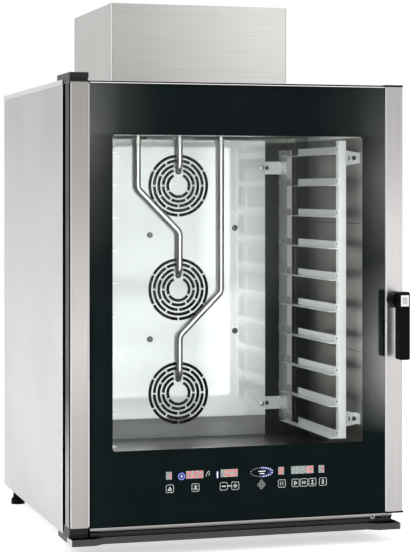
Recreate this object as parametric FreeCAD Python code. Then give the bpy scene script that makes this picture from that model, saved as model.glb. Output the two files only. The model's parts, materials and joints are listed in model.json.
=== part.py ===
"""Gas convection oven for ten trays: cabinet, glass door with lever latch, three fans, burner and flue.

Lengths are millimetres and +z is up. While it is built, y = 0 is the front plane of the door, +y runs to
the back and z = 0 is the worktop. save() moves every piece back so that the origin is under the middle.
"""
import FreeCAD
import Part
import math
import os

V = FreeCAD.Vector

# Tolerance for finding edges
TINY = 1e-6

# Main arrangement of the cabinet
FOOT_HEIGHT = 45.0
PLANT_HEIGHT = 135.0
CHAMBER_HEIGHT = 725.0
ROOF_SPACE = 105.0
CHAMBER_WIDTH = 630.0
SIDE_SPACE = 60.0
DOOR_DEPTH = 62.0
DOOR_GAP = 9.0
CHAMBER_DEPTH = 534.0
MOTOR_SPACE = 156.0

# Sheet thicknesses
CASE_SHEET = 1.2
FRAME_SHEET = 1.5
LINER_SHEET = 1.5
BASE_SHEET = 3.0
ROOF_LIP = 11.0
PANEL_RETURN = 12.0

# Feet
FOOT_PAD_RADIUS = 17.0
FOOT_NECK_RADIUS = 12.0
FOOT_FLANGE = 4.0
FOOT_PAD_HEIGHT = 11.0
FOOT_SHOULDER = 7.0
FOOT_STUD_RADIUS = 5.0
FOOT_STUD_LENGTH = 15.0
FOOT_INSET_FRONT = 55.0
FOOT_INSET_REAR = 30.0
FOOT_SETBACK_FRONT = 112.0
FOOT_SETBACK_REAR = 24.0
HOLE_PLAY = 0.2

# Wool round the chamber
WOOL_SIDE = 46.0
WOOL_FLOOR = 30.0
WOOL_TOP = 46.0
WOOL_BACK = 40.0
WOOL_SETBACK = 24.0

# Door seal round the chamber mouth
SEAL_WIDTH = 16.0
SEAL_MARGIN = 3.0
SEAL_PLAY = 0.3
SEAL_CORNER = 20.0

# Fans, their shafts and motors
FAN_COUNT = 3
FAN_LOW = 108.0
FAN_HIGH = 118.0
PLENUM_DEPTH = 110.0
WHEEL_RADIUS = 92.0
WHEEL_DEPTH = 34.0
WHEEL_SETBACK = 31.0
WHEEL_SHEET = 2.0
BLADE_COUNT = 8
BLADE_INNER = 45.0
HUB_RADIUS = 14.0
HUB_TAIL = 5.0
SHAFT_RADIUS = 8.0
SHAFT_PLAY = 0.05
WALL_HOLE_PLAY = 4.0
SHAFT_SEAL_RADIUS = 20.0
SHAFT_SEAL_LENGTH = 9.5
MOTOR_PLATE = 2.0
MOTOR_PLATE_WIDTH = 180.0
MOTOR_RADIUS = 48.0
MOTOR_LENGTH = 86.0
MOTOR_FLANGE = 110.0
MOTOR_FLANGE_DEPTH = 6.0
MOTOR_BORE_DEPTH = 42.0
SHAFT_END_PLAY = 0.5

# Baffle with its three grilles
BAFFLE_WIDTH = 442.0
BAFFLE_SHEET = 1.5
BAFFLE_FLOOR_GAP = 1.0
BAFFLE_ROOF_GAP = 8.0
BAFFLE_RETURN = 20.0
EMBOSS_WIDTH = 332.0
EMBOSS_MARGIN = 14.0
EMBOSS_DEPTH = 4.0
EMBOSS_CORNER = 22.0
GRILLE_FIRST_RADIUS = 26.8
GRILLE_RING_STEP = 11.1
GRILLE_SLOT = 7.5
GRILLE_BRIDGE = 3.5
SLOTS_IN_RINGS = (3, 6, 6, 6, 6)
GUARDED_RINGS = 3
GUARD_CLEAR = math.radians(45)
BOLT_HEAD_RADIUS = 7.0
BOLT_HEAD_HEIGHT = 4.0
BOLT_SHANK_RADIUS = 4.0
BOLT_COLUMN_RADIUS = 6.0
BOLT_LEFT_X = -71.0
BOLT_LEFT_RISE = 131.0
BOLT_RIGHT_X = 142.0
BOLT_RIGHT_RISE = 147.0

# Steam water tubes in front of the baffle
TUBE_RADIUS = 8.0
TUBE_WALL = 1.0
TUBE_BEND = 20.0
TUBE_STANDOFF = 1.0
TUBE_SIDE_X = 104.0
TUBE_RISE = 35.0
TUBE_DROP = 103.0
TUBE_REACH = 13.0
MANIFOLD_SIZE = 22.0
MANIFOLD_GAP = 11.5
MANIFOLD_OVERHANG = 20.0
SOLENOID_WIDTH = 40.0
SOLENOID_DEPTH = 60.0
COIL_RADIUS = 16.0
COIL_LENGTH = 40.0
FEED_X = 110.0

# Heat exchanger, burner and flue behind the baffle
HEADER_WIDTH = 432.0
HEADER_DEPTH = 30.0
HEADER_HEIGHT = 40.0
HEADER_WALL_GAP = 7.0
HEADER_FLOOR_GAP = 6.0
HEADER_ROOF_GAP = 5.0
HEADER_SHEET = 1.5
HEADER_FOOT = 24.0
HEADER_FOOT_X = 150.0
EXCHANGER_TUBE_RADIUS = 11.0
EXCHANGER_TUBE_INSET = 12.0
EXCHANGER_TUBE_PITCH = 43.0
EXCHANGER_TUBES = 3
BURNER_RADIUS = 10.0
BURNER_WALL = 1.5
BURNER_END_GAP = 31.0
BURNER_PORTS = 16
BURNER_PORT_RADIUS = 1.5
IGNITER_INSET = 18.0
IGNITER_RADIUS = 3.5
IGNITER_FLANGE_RADIUS = 10.0
IGNITER_FLANGE_HEIGHT = 4.0
IGNITER_TAIL = 34.0
FLUE_WIDTH = 120.0
FLUE_SHEET = 1.5
FLUE_RISE = 70.0
FLUE_PLAY = 1.0

# Gas blower, valve and pipes in the base
BLOWER_RADIUS = 52.0
BLOWER_HEIGHT = 55.0
BLOWER_OFFSET = 50.0
BLOWER_DUCT = 30.0
BLOWER_MOTOR_RADIUS = 30.0
BLOWER_MOTOR_HEIGHT = 26.0
BLOWER_NECK_RADIUS = 14.0
BLOWER_NECK_TOP = 72.0
GAS_VALVE_X = 170.0
GAS_VALVE_WIDTH = 60.0
GAS_VALVE_DEPTH = 60.0
GAS_VALVE_HEIGHT = 60.0
GAS_LINK_RADIUS = 9.0
GAS_PIPE_RADIUS = 12.0
GAS_PIPE_WALL = 2.5
THREAD_RADIUS = 13.2
SERVICE_HEIGHT = 30.0
REAR_REACH = 14.0
PIPE_HOLE_PLAY = 0.8

# Water inlet and drain
DRAIN_Y = 230.0
DRAIN_X = -220.0
DRAIN_RADIUS = 15.0
DRAIN_WALL = 1.5
DRAIN_BEND = 36.0
DRAIN_HEIGHT = 40.0
STRAINER_RADIUS = 26.0
STRAINER_SHEET = 1.2
STRAINER_HOLE = 1.2
STRAINER_HOLES = 8
STRAINER_INNER_RING = 4.5
STRAINER_OUTER_RING = 10.5

# Electrical pieces
BOARD_WIDTH = 110.0
BOARD_LENGTH = 180.0
BOARD_SHEET = 1.6
BOARD_STANDOFF = 12.0
STANDOFF_RADIUS = 4.0
STANDOFF_INSET = 12.0
RELAY_COUNT = 4
RELAY_SIZE = 18.0
RELAY_PITCH = 22.0
RELAY_EDGE = 15.0
TRANSFORMER_SIZE = 55.0
TRANSFORMER_HEIGHT = 36.0
BOARD_WALL_GAP = 100.0
BOARD_SETBACK = 90.0
GLAND_X = -100.0
GLAND_BORE = 6.5
GLAND_THREAD = 10.0
GLAND_FLANGE = 14.0
GLAND_NUT = 6.0

# Rear louvres
LOUVRE_ROWS = 9
LOUVRE_PITCH = 16.0
LOUVRE_LENGTH = 170.0
LOUVRE_HEIGHT = 6.0
LOUVRE_X = 190.0
LOUVRE_LOW = 110.0

# Tray racks
RACK_SPACE = 50.0
TRAY_PLAY = 0.5
RAIL_SHEET = 1.2
RAIL_LEDGE = 19.0
RAIL_FLANGE = 16.0
RAIL_PITCH = 71.0
RAIL_LOW = 38.5
RAIL_HIGH = 47.5
RAIL_SETBACK = 3.0
RAIL_GAP_LENGTH = 54.0
RAIL_GAP_END = 91.0
POST_WIDTH = 17.0
POST_DEPTH = 18.0
POST_SHEET = 1.5
POST_FRONT_GAP = 41.0
POST_RAIL_LOW = 1.0
POST_RAIL_HIGH = 13.0
REAR_POST_WIDTH = 61.0
REAR_POST_FOLD = 12.0
REAR_POST_LAP = 32.0
BRACKET_HEIGHT = 36.0
BRACKET_TIP = 24.0
BRACKET_SHEET = 2.0
BRACKET_FOOT = 30.0
BRACKET_LOW = 41.5
BRACKET_HIGH = 9.5
STRAP_HEIGHT = 31.0
STRAP_SETBACK = 16.0
STRAP_LOW = 37.0
STRAP_HIGH = 27.0

# Drip tray under the door
TRAY_RIGHT_GAP = 10.0
TRAY_FRONT = 12.0
TRAY_SETBACK = 14.0
TRAY_END_LENGTH = 50.0
TRAY_SLOPE = 22.0
TRAY_BEND = 18.0
TRAY_DEPTH_BEHIND = 55.0
TRAY_HEIGHT = 14.0
TRAY_SHEET = 1.5
TRAY_CAP_SHEET = 2.0
TRAY_CAP_DEPTH = 40.0

# Door
DOOR_FOOT_GAP = 22.0
DOOR_TOP_GAP = 8.0
PROFILE_WIDTH = 42.0
PROFILE_WALL = 2.0
PROFILE_ROUND = 5.0
GLASS_RECESS = 1.5
OUTER_GLASS = 5.0
BORDER_COAT = 0.4
WINDOW_SIDE = 51.5
WINDOW_LOW = 157.0
WINDOW_HIGH = 110.0
WINDOW_CORNER = 6.0
DOOR_RAIL_HEIGHT = 36.0
INNER_PANEL = 1.5
INNER_GLASS = 5.0
INNER_WINDOW_SIDE = 27.0
INNER_WINDOW_LOW = 143.0
INNER_WINDOW_HIGH = 97.0
INNER_WINDOW_CORNER = 15.0
INNER_GLASS_LAP = 15.0
CAP_STRIP = 3.0
CAP_STRIP_INSET = 1.5
PROFILE_CAP = 4.5
LOWER_STRIP = 2.0
GUTTER_HEIGHT = 11.0
GUTTER_FRONT = 4.0
GUTTER_BACK = 6.0
GUTTER_LEFT = 2.0
GUTTER_RIGHT = 25.0
GUTTER_WALL = 1.5
GUTTER_ROUND = 7.0

# Printed controls on the door glass
PANEL_X = 14.0
PANEL_RISE = 101.0
DIGIT_PITCH = 12.8
DIGIT_HEIGHT = 16.5
DISPLAY_DEPTH = 2.5
DISPLAY_GROUPS = [(-179.0, 1), (-134.5, 3), (-57.5, 3), (73.0, 1), (102.5, 4), (165.5, 1)]
CONTROL_BOARD_MARGIN = 12.0
CONTROL_BOARD_DROP = 45.0

# Door hinges
HINGE_X = 20.0
HINGE_Y = 30.0
HINGE_PIN_RADIUS = 6.0
HINGE_PIN_PLAY = 0.05
HINGE_PIN_LENGTH = 26.0
HINGE_PLATE_WIDTH = 40.0
HINGE_PLATE_REACH = 128.0
HINGE_PLATE_TOP = 12.0
HINGE_PLATE_LOW = 8.0
HINGE_STEP = 8.0
HINGE_STEP_Y = 60.0
HINGE_PLAY = 0.3
HINGE_BLOCK_DEPTH = 50.0
HINGE_TONGUE = 24.0

# Handle and latch
HANDLE_RISE = 468.0
HANDLE_BOSS_RADIUS = 16.0
HANDLE_REACH = 60.0
HANDLE_THICKNESS = 25.0
HANDLE_WIDTH = 24.0
HANDLE_DROP = 129.0
HANDLE_ROUND = 6.0
HANDLE_PLAY = 0.3
CAP_WIDTH = 18.0
CAP_HEIGHT = 24.0
CAP_PROUD = 1.5
SPINDLE_RADIUS = 6.0
SPINDLE_PLAY = 0.05
BUSH_RADIUS = 10.0
LATCH_LENGTH = 34.0
LATCH_WIDTH = 10.0
LATCH_DEPTH = 8.0
LATCH_PLAY = 2.5
LATCH_SLOT_PLAY = 3.0

# Flue box on the roof
CHIMNEY_WIDTH = 422.0
CHIMNEY_FRONT = 310.0
CHIMNEY_REAR_GAP = 3.0
CHIMNEY_HEIGHT = 192.0
CHIMNEY_ROUND = 68.0
CHIMNEY_EDGE = 6.0
OUTLET_RADIUS = 60.0
OUTLET_WALL = 2.0
OUTLET_DEPTH = 22.0

# Places worked out from the sizes above
BASE = FOOT_HEIGHT
FLOOR = BASE + PLANT_HEIGHT
CEILING = FLOOR + CHAMBER_HEIGHT
ROOF = CEILING + ROOF_SPACE
MOUTH = CHAMBER_WIDTH / 2
HALF = MOUTH + SIDE_SPACE
INNER_HALF = HALF - CASE_SHEET
FRONT = DOOR_DEPTH + DOOR_GAP
BACK_WALL = FRONT + CHAMBER_DEPTH
REAR = BACK_WALL + MOTOR_SPACE
REAR_INSIDE = REAR - FRAME_SHEET
DECK = BASE + BASE_SHEET
FRAME_BACK = FRONT + FRAME_SHEET
ROOF_UNDER = ROOF - CASE_SHEET
LINER_UNDER = FLOOR - LINER_SHEET
LINER_TOP = CEILING + LINER_SHEET
LINER_BACK = BACK_WALL + LINER_SHEET
LINER_HALF = MOUTH + LINER_SHEET
WOOL_REAR = LINER_BACK + WOOL_BACK
WOOL_ROOF = LINER_TOP + WOOL_TOP
BAFFLE_Y = BACK_WALL - PLENUM_DEPTH
BAFFLE_HALF = BAFFLE_WIDTH / 2
BAFFLE_FIELD = BAFFLE_Y + EMBOSS_DEPTH
FAN_PITCH = (CHAMBER_HEIGHT - FAN_LOW - FAN_HIGH) / (FAN_COUNT - 1)
FAN_Z = [FLOOR + FAN_LOW + FAN_PITCH * i for i in range(FAN_COUNT)]
WHEEL_FRONT = BAFFLE_Y + WHEEL_SETBACK
WHEEL_BACK = WHEEL_FRONT + WHEEL_DEPTH
MOTOR_FRONT = WOOL_REAR + MOTOR_PLATE
HEADER_BACK = BACK_WALL - HEADER_WALL_GAP
HEADER_Y = HEADER_BACK - HEADER_DEPTH / 2
HEADER_FRONT = HEADER_BACK - HEADER_DEPTH
HEADER_LOW = FLOOR + HEADER_FLOOR_GAP
HEADER_HIGH = CEILING - HEADER_ROOF_GAP
BURNER_Z = HEADER_LOW + HEADER_HEIGHT / 2
BURNER_HALF = HEADER_WIDTH / 2 - BURNER_END_GAP
IGNITER_X = HEADER_WIDTH / 2 - IGNITER_INSET
BOARD_X = HALF - BOARD_WALL_GAP
SERVICE_Z = DECK + SERVICE_HEIGHT
REAR_END = REAR + REAR_REACH
DRAIN_Z = DECK + DRAIN_HEIGHT
DRAIN_FROM_FRONT = FRONT + DRAIN_Y
TUBE_Y = BAFFLE_Y - TUBE_STANDOFF - TUBE_RADIUS
MANIFOLD_LOW = WOOL_ROOF + MANIFOLD_GAP
MANIFOLD_Z = MANIFOLD_LOW + MANIFOLD_SIZE / 2
SOLENOID_FRONT = REAR_INSIDE - SOLENOID_DEPTH
TRAY_WIDTH = CHAMBER_WIDTH - 2 * RACK_SPACE
TRAY_HALF = TRAY_WIDTH / 2 + TRAY_PLAY
RAIL_OUTER = TRAY_HALF + RAIL_SHEET
POST_FRONT = FRONT + POST_FRONT_GAP
RAIL_FRONT = POST_FRONT + RAIL_SETBACK
RAIL_BACK = BAFFLE_Y + REAR_POST_LAP
REAR_POST_FRONT = RAIL_BACK - REAR_POST_WIDTH
RAIL_COUNT = int((CHAMBER_HEIGHT - RAIL_LOW - RAIL_HIGH) / RAIL_PITCH + TINY) + 1
RAIL_Z = [FLOOR + RAIL_LOW + RAIL_PITCH * i for i in range(RAIL_COUNT)]
DOOR_LOW = BASE + DOOR_FOOT_GAP
DOOR_TOP = ROOF - DOOR_TOP_GAP
GLASS_HALF = HALF - PROFILE_WIDTH
GLASS_BACK = GLASS_RECESS + OUTER_GLASS
BORDER_BACK = GLASS_BACK + BORDER_COAT
INNER_FACE = DOOR_DEPTH - INNER_PANEL
GUTTER_TOP = DOOR_LOW - LOWER_STRIP
PANEL_Z = DOOR_LOW + PANEL_RISE
HINGE_AXIS_X = -HALF + HINGE_X
HANDLE_X = HALF - PROFILE_WIDTH / 2
HANDLE_Z = DOOR_LOW + HANDLE_RISE
LATCH_FRONT = FRAME_BACK + LATCH_PLAY
LATCH_BACK = LATCH_FRONT + LATCH_DEPTH
CHIMNEY_BACK = REAR - CHIMNEY_REAR_GAP
CHIMNEY_TOP = ROOF + CHIMNEY_HEIGHT
FRONT_END = -HANDLE_REACH - CAP_PROUD
MIDDLE_Y = (FRONT_END + REAR_END) / 2


# Shape helpers
def box(x0, x1, y0, y1, z0, z1):
    """A block between two corners."""
    return Part.makeBox(x1 - x0, y1 - y0, z1 - z0, V(x0, y0, z0))


def rod(radius, start, end):
    """A round bar from one point to another."""
    along = end - start
    return Part.makeCylinder(radius, along.Length, start, along)


def sleeve(outer, inner, start, end):
    """A round bar with a bore right through it."""
    return rod(outer, start, end).cut(rod(inner, start, end))


def join(solids):
    """Weld solids that touch or overlap into one."""
    return solids[0].multiFuse(solids[1:]).removeSplitter()


def rounded_outline(x0, x1, z0, z1, radius, y):
    """A rectangle with round corners, standing in the plane at y."""
    edges = []
    corners = [(x1 - radius, z1 - radius, 0), (x0 + radius, z1 - radius, 90),
               (x0 + radius, z0 + radius, 180), (x1 - radius, z0 + radius, 270)]
    arcs = []
    for cx, cz, first in corners:
        points = []
        for turn in (first, first + 45, first + 90):
            angle = math.radians(turn)
            points.append(V(cx + radius * math.cos(angle), y, cz + radius * math.sin(angle)))
        arcs.append(points)
    for i, points in enumerate(arcs):
        edges.append(Part.Arc(*points).toShape())
        edges.append(Part.makeLine(points[2], arcs[(i + 1) % 4][0]))
    return Part.Wire(edges)


def rounded_plate(x0, x1, z0, z1, radius, y0, y1):
    """An upright plate with round corners between two depths."""
    face = Part.Face(rounded_outline(x0, x1, z0, z1, radius, y0))
    return face.extrude(V(0, y1 - y0, 0))


def upright_edges(solid, y):
    """The straight upright edges of a solid at one depth."""
    found = []
    for edge in solid.Edges:
        if len(edge.Vertexes) == 2:
            start = edge.Vertexes[0].Point
            end = edge.Vertexes[1].Point
            upright = abs(start.x - end.x) < TINY and abs(start.y - end.y) < TINY
            if upright and abs(start.y - y) < TINY:
                found.append(edge)
    return found


def pipe_path(points, bend):
    """Straight runs joined by tangent arcs of one radius."""
    edges = []
    start = points[0]
    for before, corner, after in zip(points, points[1:], points[2:]):
        back = (before - corner).normalize()
        ahead = (after - corner).normalize()
        half_turn = (math.pi - back.getAngle(ahead)) / 2
        trim = bend * math.tan(half_turn)
        inward = (back + ahead).normalize()
        centre = corner + inward * (bend / math.cos(half_turn))
        arc = Part.Arc(corner + back * trim, centre - inward * bend, corner + ahead * trim)
        edges.append(Part.makeLine(start, corner + back * trim))
        edges.append(arc.toShape())
        start = corner + ahead * trim
    edges.append(Part.makeLine(start, points[-1]))
    return Part.Wire(edges)


def bent_bar(points, radius, bend):
    """A round bar bent along a path."""
    section = Part.Wire(Part.makeCircle(radius, points[0], points[1] - points[0]))
    return pipe_path(points, bend).makePipeShell([section], True, False)


def bent_tube(points, radius, wall, bend):
    """A round tube bent along a path, open at both ends."""
    return bent_bar(points, radius, bend).cut(bent_bar(points, radius - wall, bend))


def save(name, solids):
    """Move the solids of one node to the finished frame and write them."""
    shape = Part.makeCompound(solids)
    shape.translate(V(0, -MIDDLE_Y, 0))
    shape.exportStep("parts/" + name + ".step")


# Cabinet
def foot_places():
    """Centres of the four feet."""
    front_y = FRONT + FOOT_SETBACK_FRONT
    rear_y = REAR - FOOT_SETBACK_REAR
    places = []
    for side in (-1, 1):
        places.append((side * (HALF - FOOT_INSET_FRONT), front_y))
        places.append((side * (HALF - FOOT_INSET_REAR), rear_y))
    return places


def foot(x, y):
    """A black foot: pad, tapered shoulder, neck, flange and stud."""
    pad_top = FOOT_PAD_HEIGHT
    shoulder_top = pad_top + FOOT_SHOULDER
    pad = rod(FOOT_PAD_RADIUS, V(x, y, 0), V(x, y, pad_top))
    shoulder = Part.makeCone(FOOT_PAD_RADIUS, FOOT_NECK_RADIUS, FOOT_SHOULDER, V(x, y, pad_top))
    neck = rod(FOOT_NECK_RADIUS, V(x, y, shoulder_top), V(x, y, BASE))
    flange = rod(FOOT_PAD_RADIUS, V(x, y, BASE - FOOT_FLANGE), V(x, y, BASE))
    stud = rod(FOOT_STUD_RADIUS, V(x, y, BASE), V(x, y, BASE + FOOT_STUD_LENGTH))
    return join([pad, shoulder, neck, flange, stud])


def base_pan():
    """The floor plate of the cabinet, with a hole for each foot's stud."""
    plate = box(-INNER_HALF, INNER_HALF, FRAME_BACK, REAR_INSIDE, BASE, DECK)
    for x, y in foot_places():
        plate = plate.cut(rod(FOOT_STUD_RADIUS + HOLE_PLAY, V(x, y, BASE), V(x, y, DECK)))
    return plate


def side_panel(side):
    """One side sheet with a return at its front and rear edges."""
    sheet = box(INNER_HALF, HALF, FRONT, REAR, BASE, ROOF_UNDER)
    edge = INNER_HALF - PANEL_RETURN
    front = box(edge, INNER_HALF, FRAME_BACK, FRAME_BACK + CASE_SHEET, DECK, ROOF_UNDER)
    rear = box(edge, INNER_HALF, REAR_INSIDE - CASE_SHEET, REAR_INSIDE, DECK, ROOF_UNDER)
    panel = join([sheet, front, rear])
    if side < 0:
        panel = panel.mirror(V(0, 0, 0), V(1, 0, 0))
    return panel


def rear_panel():
    """The back sheet with louvre slots and holes for the services."""
    sheet = box(-INNER_HALF, INNER_HALF, REAR_INSIDE, REAR, BASE, ROOF_UNDER)
    cuts = []
    for row in range(LOUVRE_ROWS):
        low = DECK + LOUVRE_LOW + LOUVRE_PITCH * row
        for x in (-LOUVRE_X, LOUVRE_X):
            cuts.append(box(x - LOUVRE_LENGTH / 2, x + LOUVRE_LENGTH / 2, REAR_INSIDE, REAR,
                            low, low + LOUVRE_HEIGHT))
    holes = [(GAS_VALVE_X, SERVICE_Z, GAS_PIPE_RADIUS), (FEED_X, MANIFOLD_Z, GAS_PIPE_RADIUS),
             (DRAIN_X, DRAIN_Z, DRAIN_RADIUS), (GLAND_X, SERVICE_Z, GLAND_THREAD)]
    for x, z, radius in holes:
        cuts.append(rod(radius + PIPE_HOLE_PLAY, V(x, REAR_INSIDE, z), V(x, REAR, z)))
    return sheet.cut(cuts)


def flue_hole(low, high):
    """The opening that the flue duct needs through a sheet."""
    half = FLUE_WIDTH / 2 + FLUE_PLAY
    return box(-half, half, HEADER_FRONT - FLUE_PLAY, HEADER_BACK + FLUE_PLAY, low, high)


def top_cover():
    """The roof sheet with a down-turned lip outside the panels."""
    half = HALF + CASE_SHEET
    outer = box(-half, half, FRONT - CASE_SHEET, REAR + CASE_SHEET, ROOF - ROOF_LIP, ROOF)
    inner = box(-HALF, HALF, FRONT, REAR, ROOF - ROOF_LIP, ROOF_UNDER)
    return outer.cut([inner, flue_hole(ROOF_UNDER, ROOF)])


def front_frame():
    """The face sheet round the chamber mouth, with the latch slot and the notch for the hinge tongue."""
    sheet = box(-INNER_HALF, INNER_HALF, FRONT, FRAME_BACK, BASE, ROOF_UNDER)
    mouth = box(-MOUTH, MOUTH, FRONT, FRAME_BACK, FLOOR, CEILING)
    slot_half = LATCH_WIDTH / 2 + LATCH_SLOT_PLAY
    slot_rise = LATCH_LENGTH / 2 + LATCH_SLOT_PLAY
    slot = box(HANDLE_X - slot_half, HANDLE_X + slot_half, FRONT, FRAME_BACK,
               HANDLE_Z - slot_rise, HANDLE_Z + slot_rise)
    tongue_half = HINGE_TONGUE / 2 + HOLE_PLAY
    notch = box(hinge_tongue_x() - tongue_half, hinge_tongue_x() + tongue_half, FRONT, FRAME_BACK,
                DECK, BASE + HINGE_PLATE_LOW + HOLE_PLAY)
    return sheet.cut([mouth, slot, notch])


def ceiling_holes(low, high):
    """Openings above the chamber for the water tubes and the flue."""
    holes = [flue_hole(low, high)]
    for x in (-TUBE_SIDE_X, 0, TUBE_SIDE_X):
        holes.append(rod(TUBE_RADIUS + HOLE_PLAY, V(x, TUBE_Y, low), V(x, TUBE_Y, high)))
    return holes


def cooking_chamber():
    """The steel liner: floor, ceiling, two sides and the back wall, open at the front."""
    outer = box(-LINER_HALF, LINER_HALF, FRAME_BACK, LINER_BACK, LINER_UNDER, LINER_TOP)
    inner = box(-MOUTH, MOUTH, FRAME_BACK, BACK_WALL, FLOOR, CEILING)
    cuts = [inner] + ceiling_holes(CEILING, LINER_TOP)
    for z in FAN_Z:
        cuts.append(rod(SHAFT_RADIUS + WALL_HOLE_PLAY, V(0, BACK_WALL, z), V(0, LINER_BACK, z)))
    floor_holes = [(0, DRAIN_FROM_FRONT, DRAIN_RADIUS - DRAIN_WALL),
                   (0, HEADER_Y, BURNER_RADIUS + HOLE_PLAY),
                   (IGNITER_X, HEADER_Y, IGNITER_RADIUS + HOLE_PLAY)]
    for x, y, radius in floor_holes:
        cuts.append(rod(radius, V(x, y, LINER_UNDER), V(x, y, FLOOR)))
    return outer.cut(cuts)


def insulation_wrap():
    """The wool jacket round the liner, cleared for everything that passes through it."""
    half = LINER_HALF + WOOL_SIDE
    low = LINER_UNDER - WOOL_FLOOR
    outer = box(-half, half, FRONT + WOOL_SETBACK, WOOL_REAR, low, WOOL_ROOF)
    inner = box(-LINER_HALF, LINER_HALF, FRONT, LINER_BACK, LINER_UNDER, LINER_TOP)
    cuts = [inner] + ceiling_holes(LINER_TOP, WOOL_ROOF)
    for z in FAN_Z:
        cuts.append(rod(SHAFT_SEAL_RADIUS + HOLE_PLAY, V(0, LINER_BACK, z), V(0, WOOL_REAR, z)))
    floor_holes = [(0, DRAIN_FROM_FRONT, DRAIN_RADIUS + HOLE_PLAY),
                   (0, HEADER_Y, BURNER_RADIUS + HOLE_PLAY),
                   (IGNITER_X, HEADER_Y, IGNITER_FLANGE_RADIUS + HOLE_PLAY)]
    for x, y, radius in floor_holes:
        cuts.append(rod(radius, V(x, y, low), V(x, y, LINER_UNDER)))
    return outer.cut(cuts)


def door_seal():
    """The rubber ring on the face sheet that the door closes on."""
    inner = MOUTH + SEAL_MARGIN
    outer = inner + SEAL_WIDTH
    front = DOOR_DEPTH + SEAL_PLAY
    low = FLOOR - SEAL_MARGIN
    high = CEILING + SEAL_MARGIN
    body = rounded_plate(-outer, outer, low - SEAL_WIDTH, high + SEAL_WIDTH, SEAL_CORNER, front, FRONT)
    hole = rounded_plate(-inner, inner, low, high, SEAL_CORNER - SEAL_WIDTH, front, FRONT)
    return body.cut(hole)


# Baffle, fans and motors
def slot_outline(radius, first, last, centre_z, y):
    """One curved grille slot between two angles."""
    def at(distance, angle):
        return V(distance * math.cos(angle), y, centre_z + distance * math.sin(angle))
    middle = (first + last) / 2
    inner = radius - GRILLE_SLOT / 2
    outer = radius + GRILLE_SLOT / 2
    edges = [Part.Arc(at(outer, first), at(outer, middle), at(outer, last)).toShape(),
             Part.makeLine(at(outer, last), at(inner, last)),
             Part.Arc(at(inner, last), at(inner, middle), at(inner, first)).toShape(),
             Part.makeLine(at(inner, first), at(outer, first))]
    return Part.Wire(edges)


def slot_spans(ring, radius):
    """First and last angle of each slot in a ring, kept clear of the water tube above the middle."""
    count = SLOTS_IN_RINGS[ring]
    step = 2 * math.pi / count
    start = math.pi / 2 + (step / 2 if ring % 2 else 0.0)
    half_bridge = GRILLE_BRIDGE / radius / 2
    walls = [(start + step * i, half_bridge) for i in range(count)]
    if ring < GUARDED_RINGS:
        top = math.pi / 2
        guard = math.asin((TUBE_RADIUS + GRILLE_BRIDGE) / radius)
        walls = [wall for wall in walls if math.cos(wall[0] - top) < math.cos(GUARD_CLEAR)]
        walls = [(top, guard)] + walls
    turn = [(walls[0][0] + 2 * math.pi, walls[0][1])]
    return [(angle + half, after - after_half)
            for (angle, half), (after, after_half) in zip(walls, walls[1:] + turn)]


def grille_cuts(centre_z):
    """Cutting bodies for the slots of one grille and the tube hole above its middle."""
    cuts = []
    for ring in range(len(SLOTS_IN_RINGS)):
        radius = GRILLE_FIRST_RADIUS + GRILLE_RING_STEP * ring
        for first, last in slot_spans(ring, radius):
            face = Part.Face(slot_outline(radius, first, last, centre_z, BAFFLE_Y))
            cuts.append(face.extrude(V(0, BAFFLE_SHEET, 0)))
    low = centre_z + TUBE_RISE - TUBE_RADIUS - HOLE_PLAY
    high = centre_z + TUBE_RISE + 2 * TUBE_RADIUS + HOLE_PLAY
    half = TUBE_RADIUS + HOLE_PLAY
    cuts.append(rounded_plate(-half, half, low, high, TUBE_RADIUS, BAFFLE_Y, BAFFLE_Y + BAFFLE_SHEET))
    return cuts


def baffle_bolt_places():
    """Where the four baffle bolts stand."""
    places = []
    for z in FAN_Z[:-1]:
        places.append((BOLT_LEFT_X, z + BOLT_LEFT_RISE))
        places.append((BOLT_RIGHT_X, z + BOLT_RIGHT_RISE))
    return places


def fan_baffle():
    """The removable sheet in front of the fans: embossed middle, three grilles and folded sides."""
    low = FLOOR + BAFFLE_FLOOR_GAP
    high = CEILING - BAFFLE_ROOF_GAP
    half = EMBOSS_WIDTH / 2
    field_back = BAFFLE_FIELD + BAFFLE_SHEET
    emboss = (low + EMBOSS_MARGIN, high - EMBOSS_MARGIN)
    inner = (emboss[0] + BAFFLE_SHEET, emboss[1] - BAFFLE_SHEET)
    inner_half = half - BAFFLE_SHEET
    inner_corner = EMBOSS_CORNER - BAFFLE_SHEET
    hollow = rounded_plate(-inner_half, inner_half, inner[0], inner[1], inner_corner,
                           BAFFLE_Y + BAFFLE_SHEET, field_back)
    raised = rounded_plate(-half, half, emboss[0], emboss[1], EMBOSS_CORNER, BAFFLE_Y, field_back)
    field = box(-BAFFLE_HALF, BAFFLE_HALF, BAFFLE_FIELD, field_back, low, high)
    fold_back = BAFFLE_FIELD + BAFFLE_RETURN
    right = box(BAFFLE_HALF - BAFFLE_SHEET, BAFFLE_HALF, BAFFLE_FIELD, fold_back, low, high)
    left = right.mirror(V(0, 0, 0), V(1, 0, 0))
    cuts = [hollow]
    for z in FAN_Z:
        cuts += grille_cuts(z)
    for x, z in baffle_bolt_places():
        cuts.append(rod(BOLT_SHANK_RADIUS + HOLE_PLAY, V(x, BAFFLE_Y, z), V(x, BAFFLE_Y + BAFFLE_SHEET, z)))
    return join([field, raised, left, right]).cut(cuts)


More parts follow.
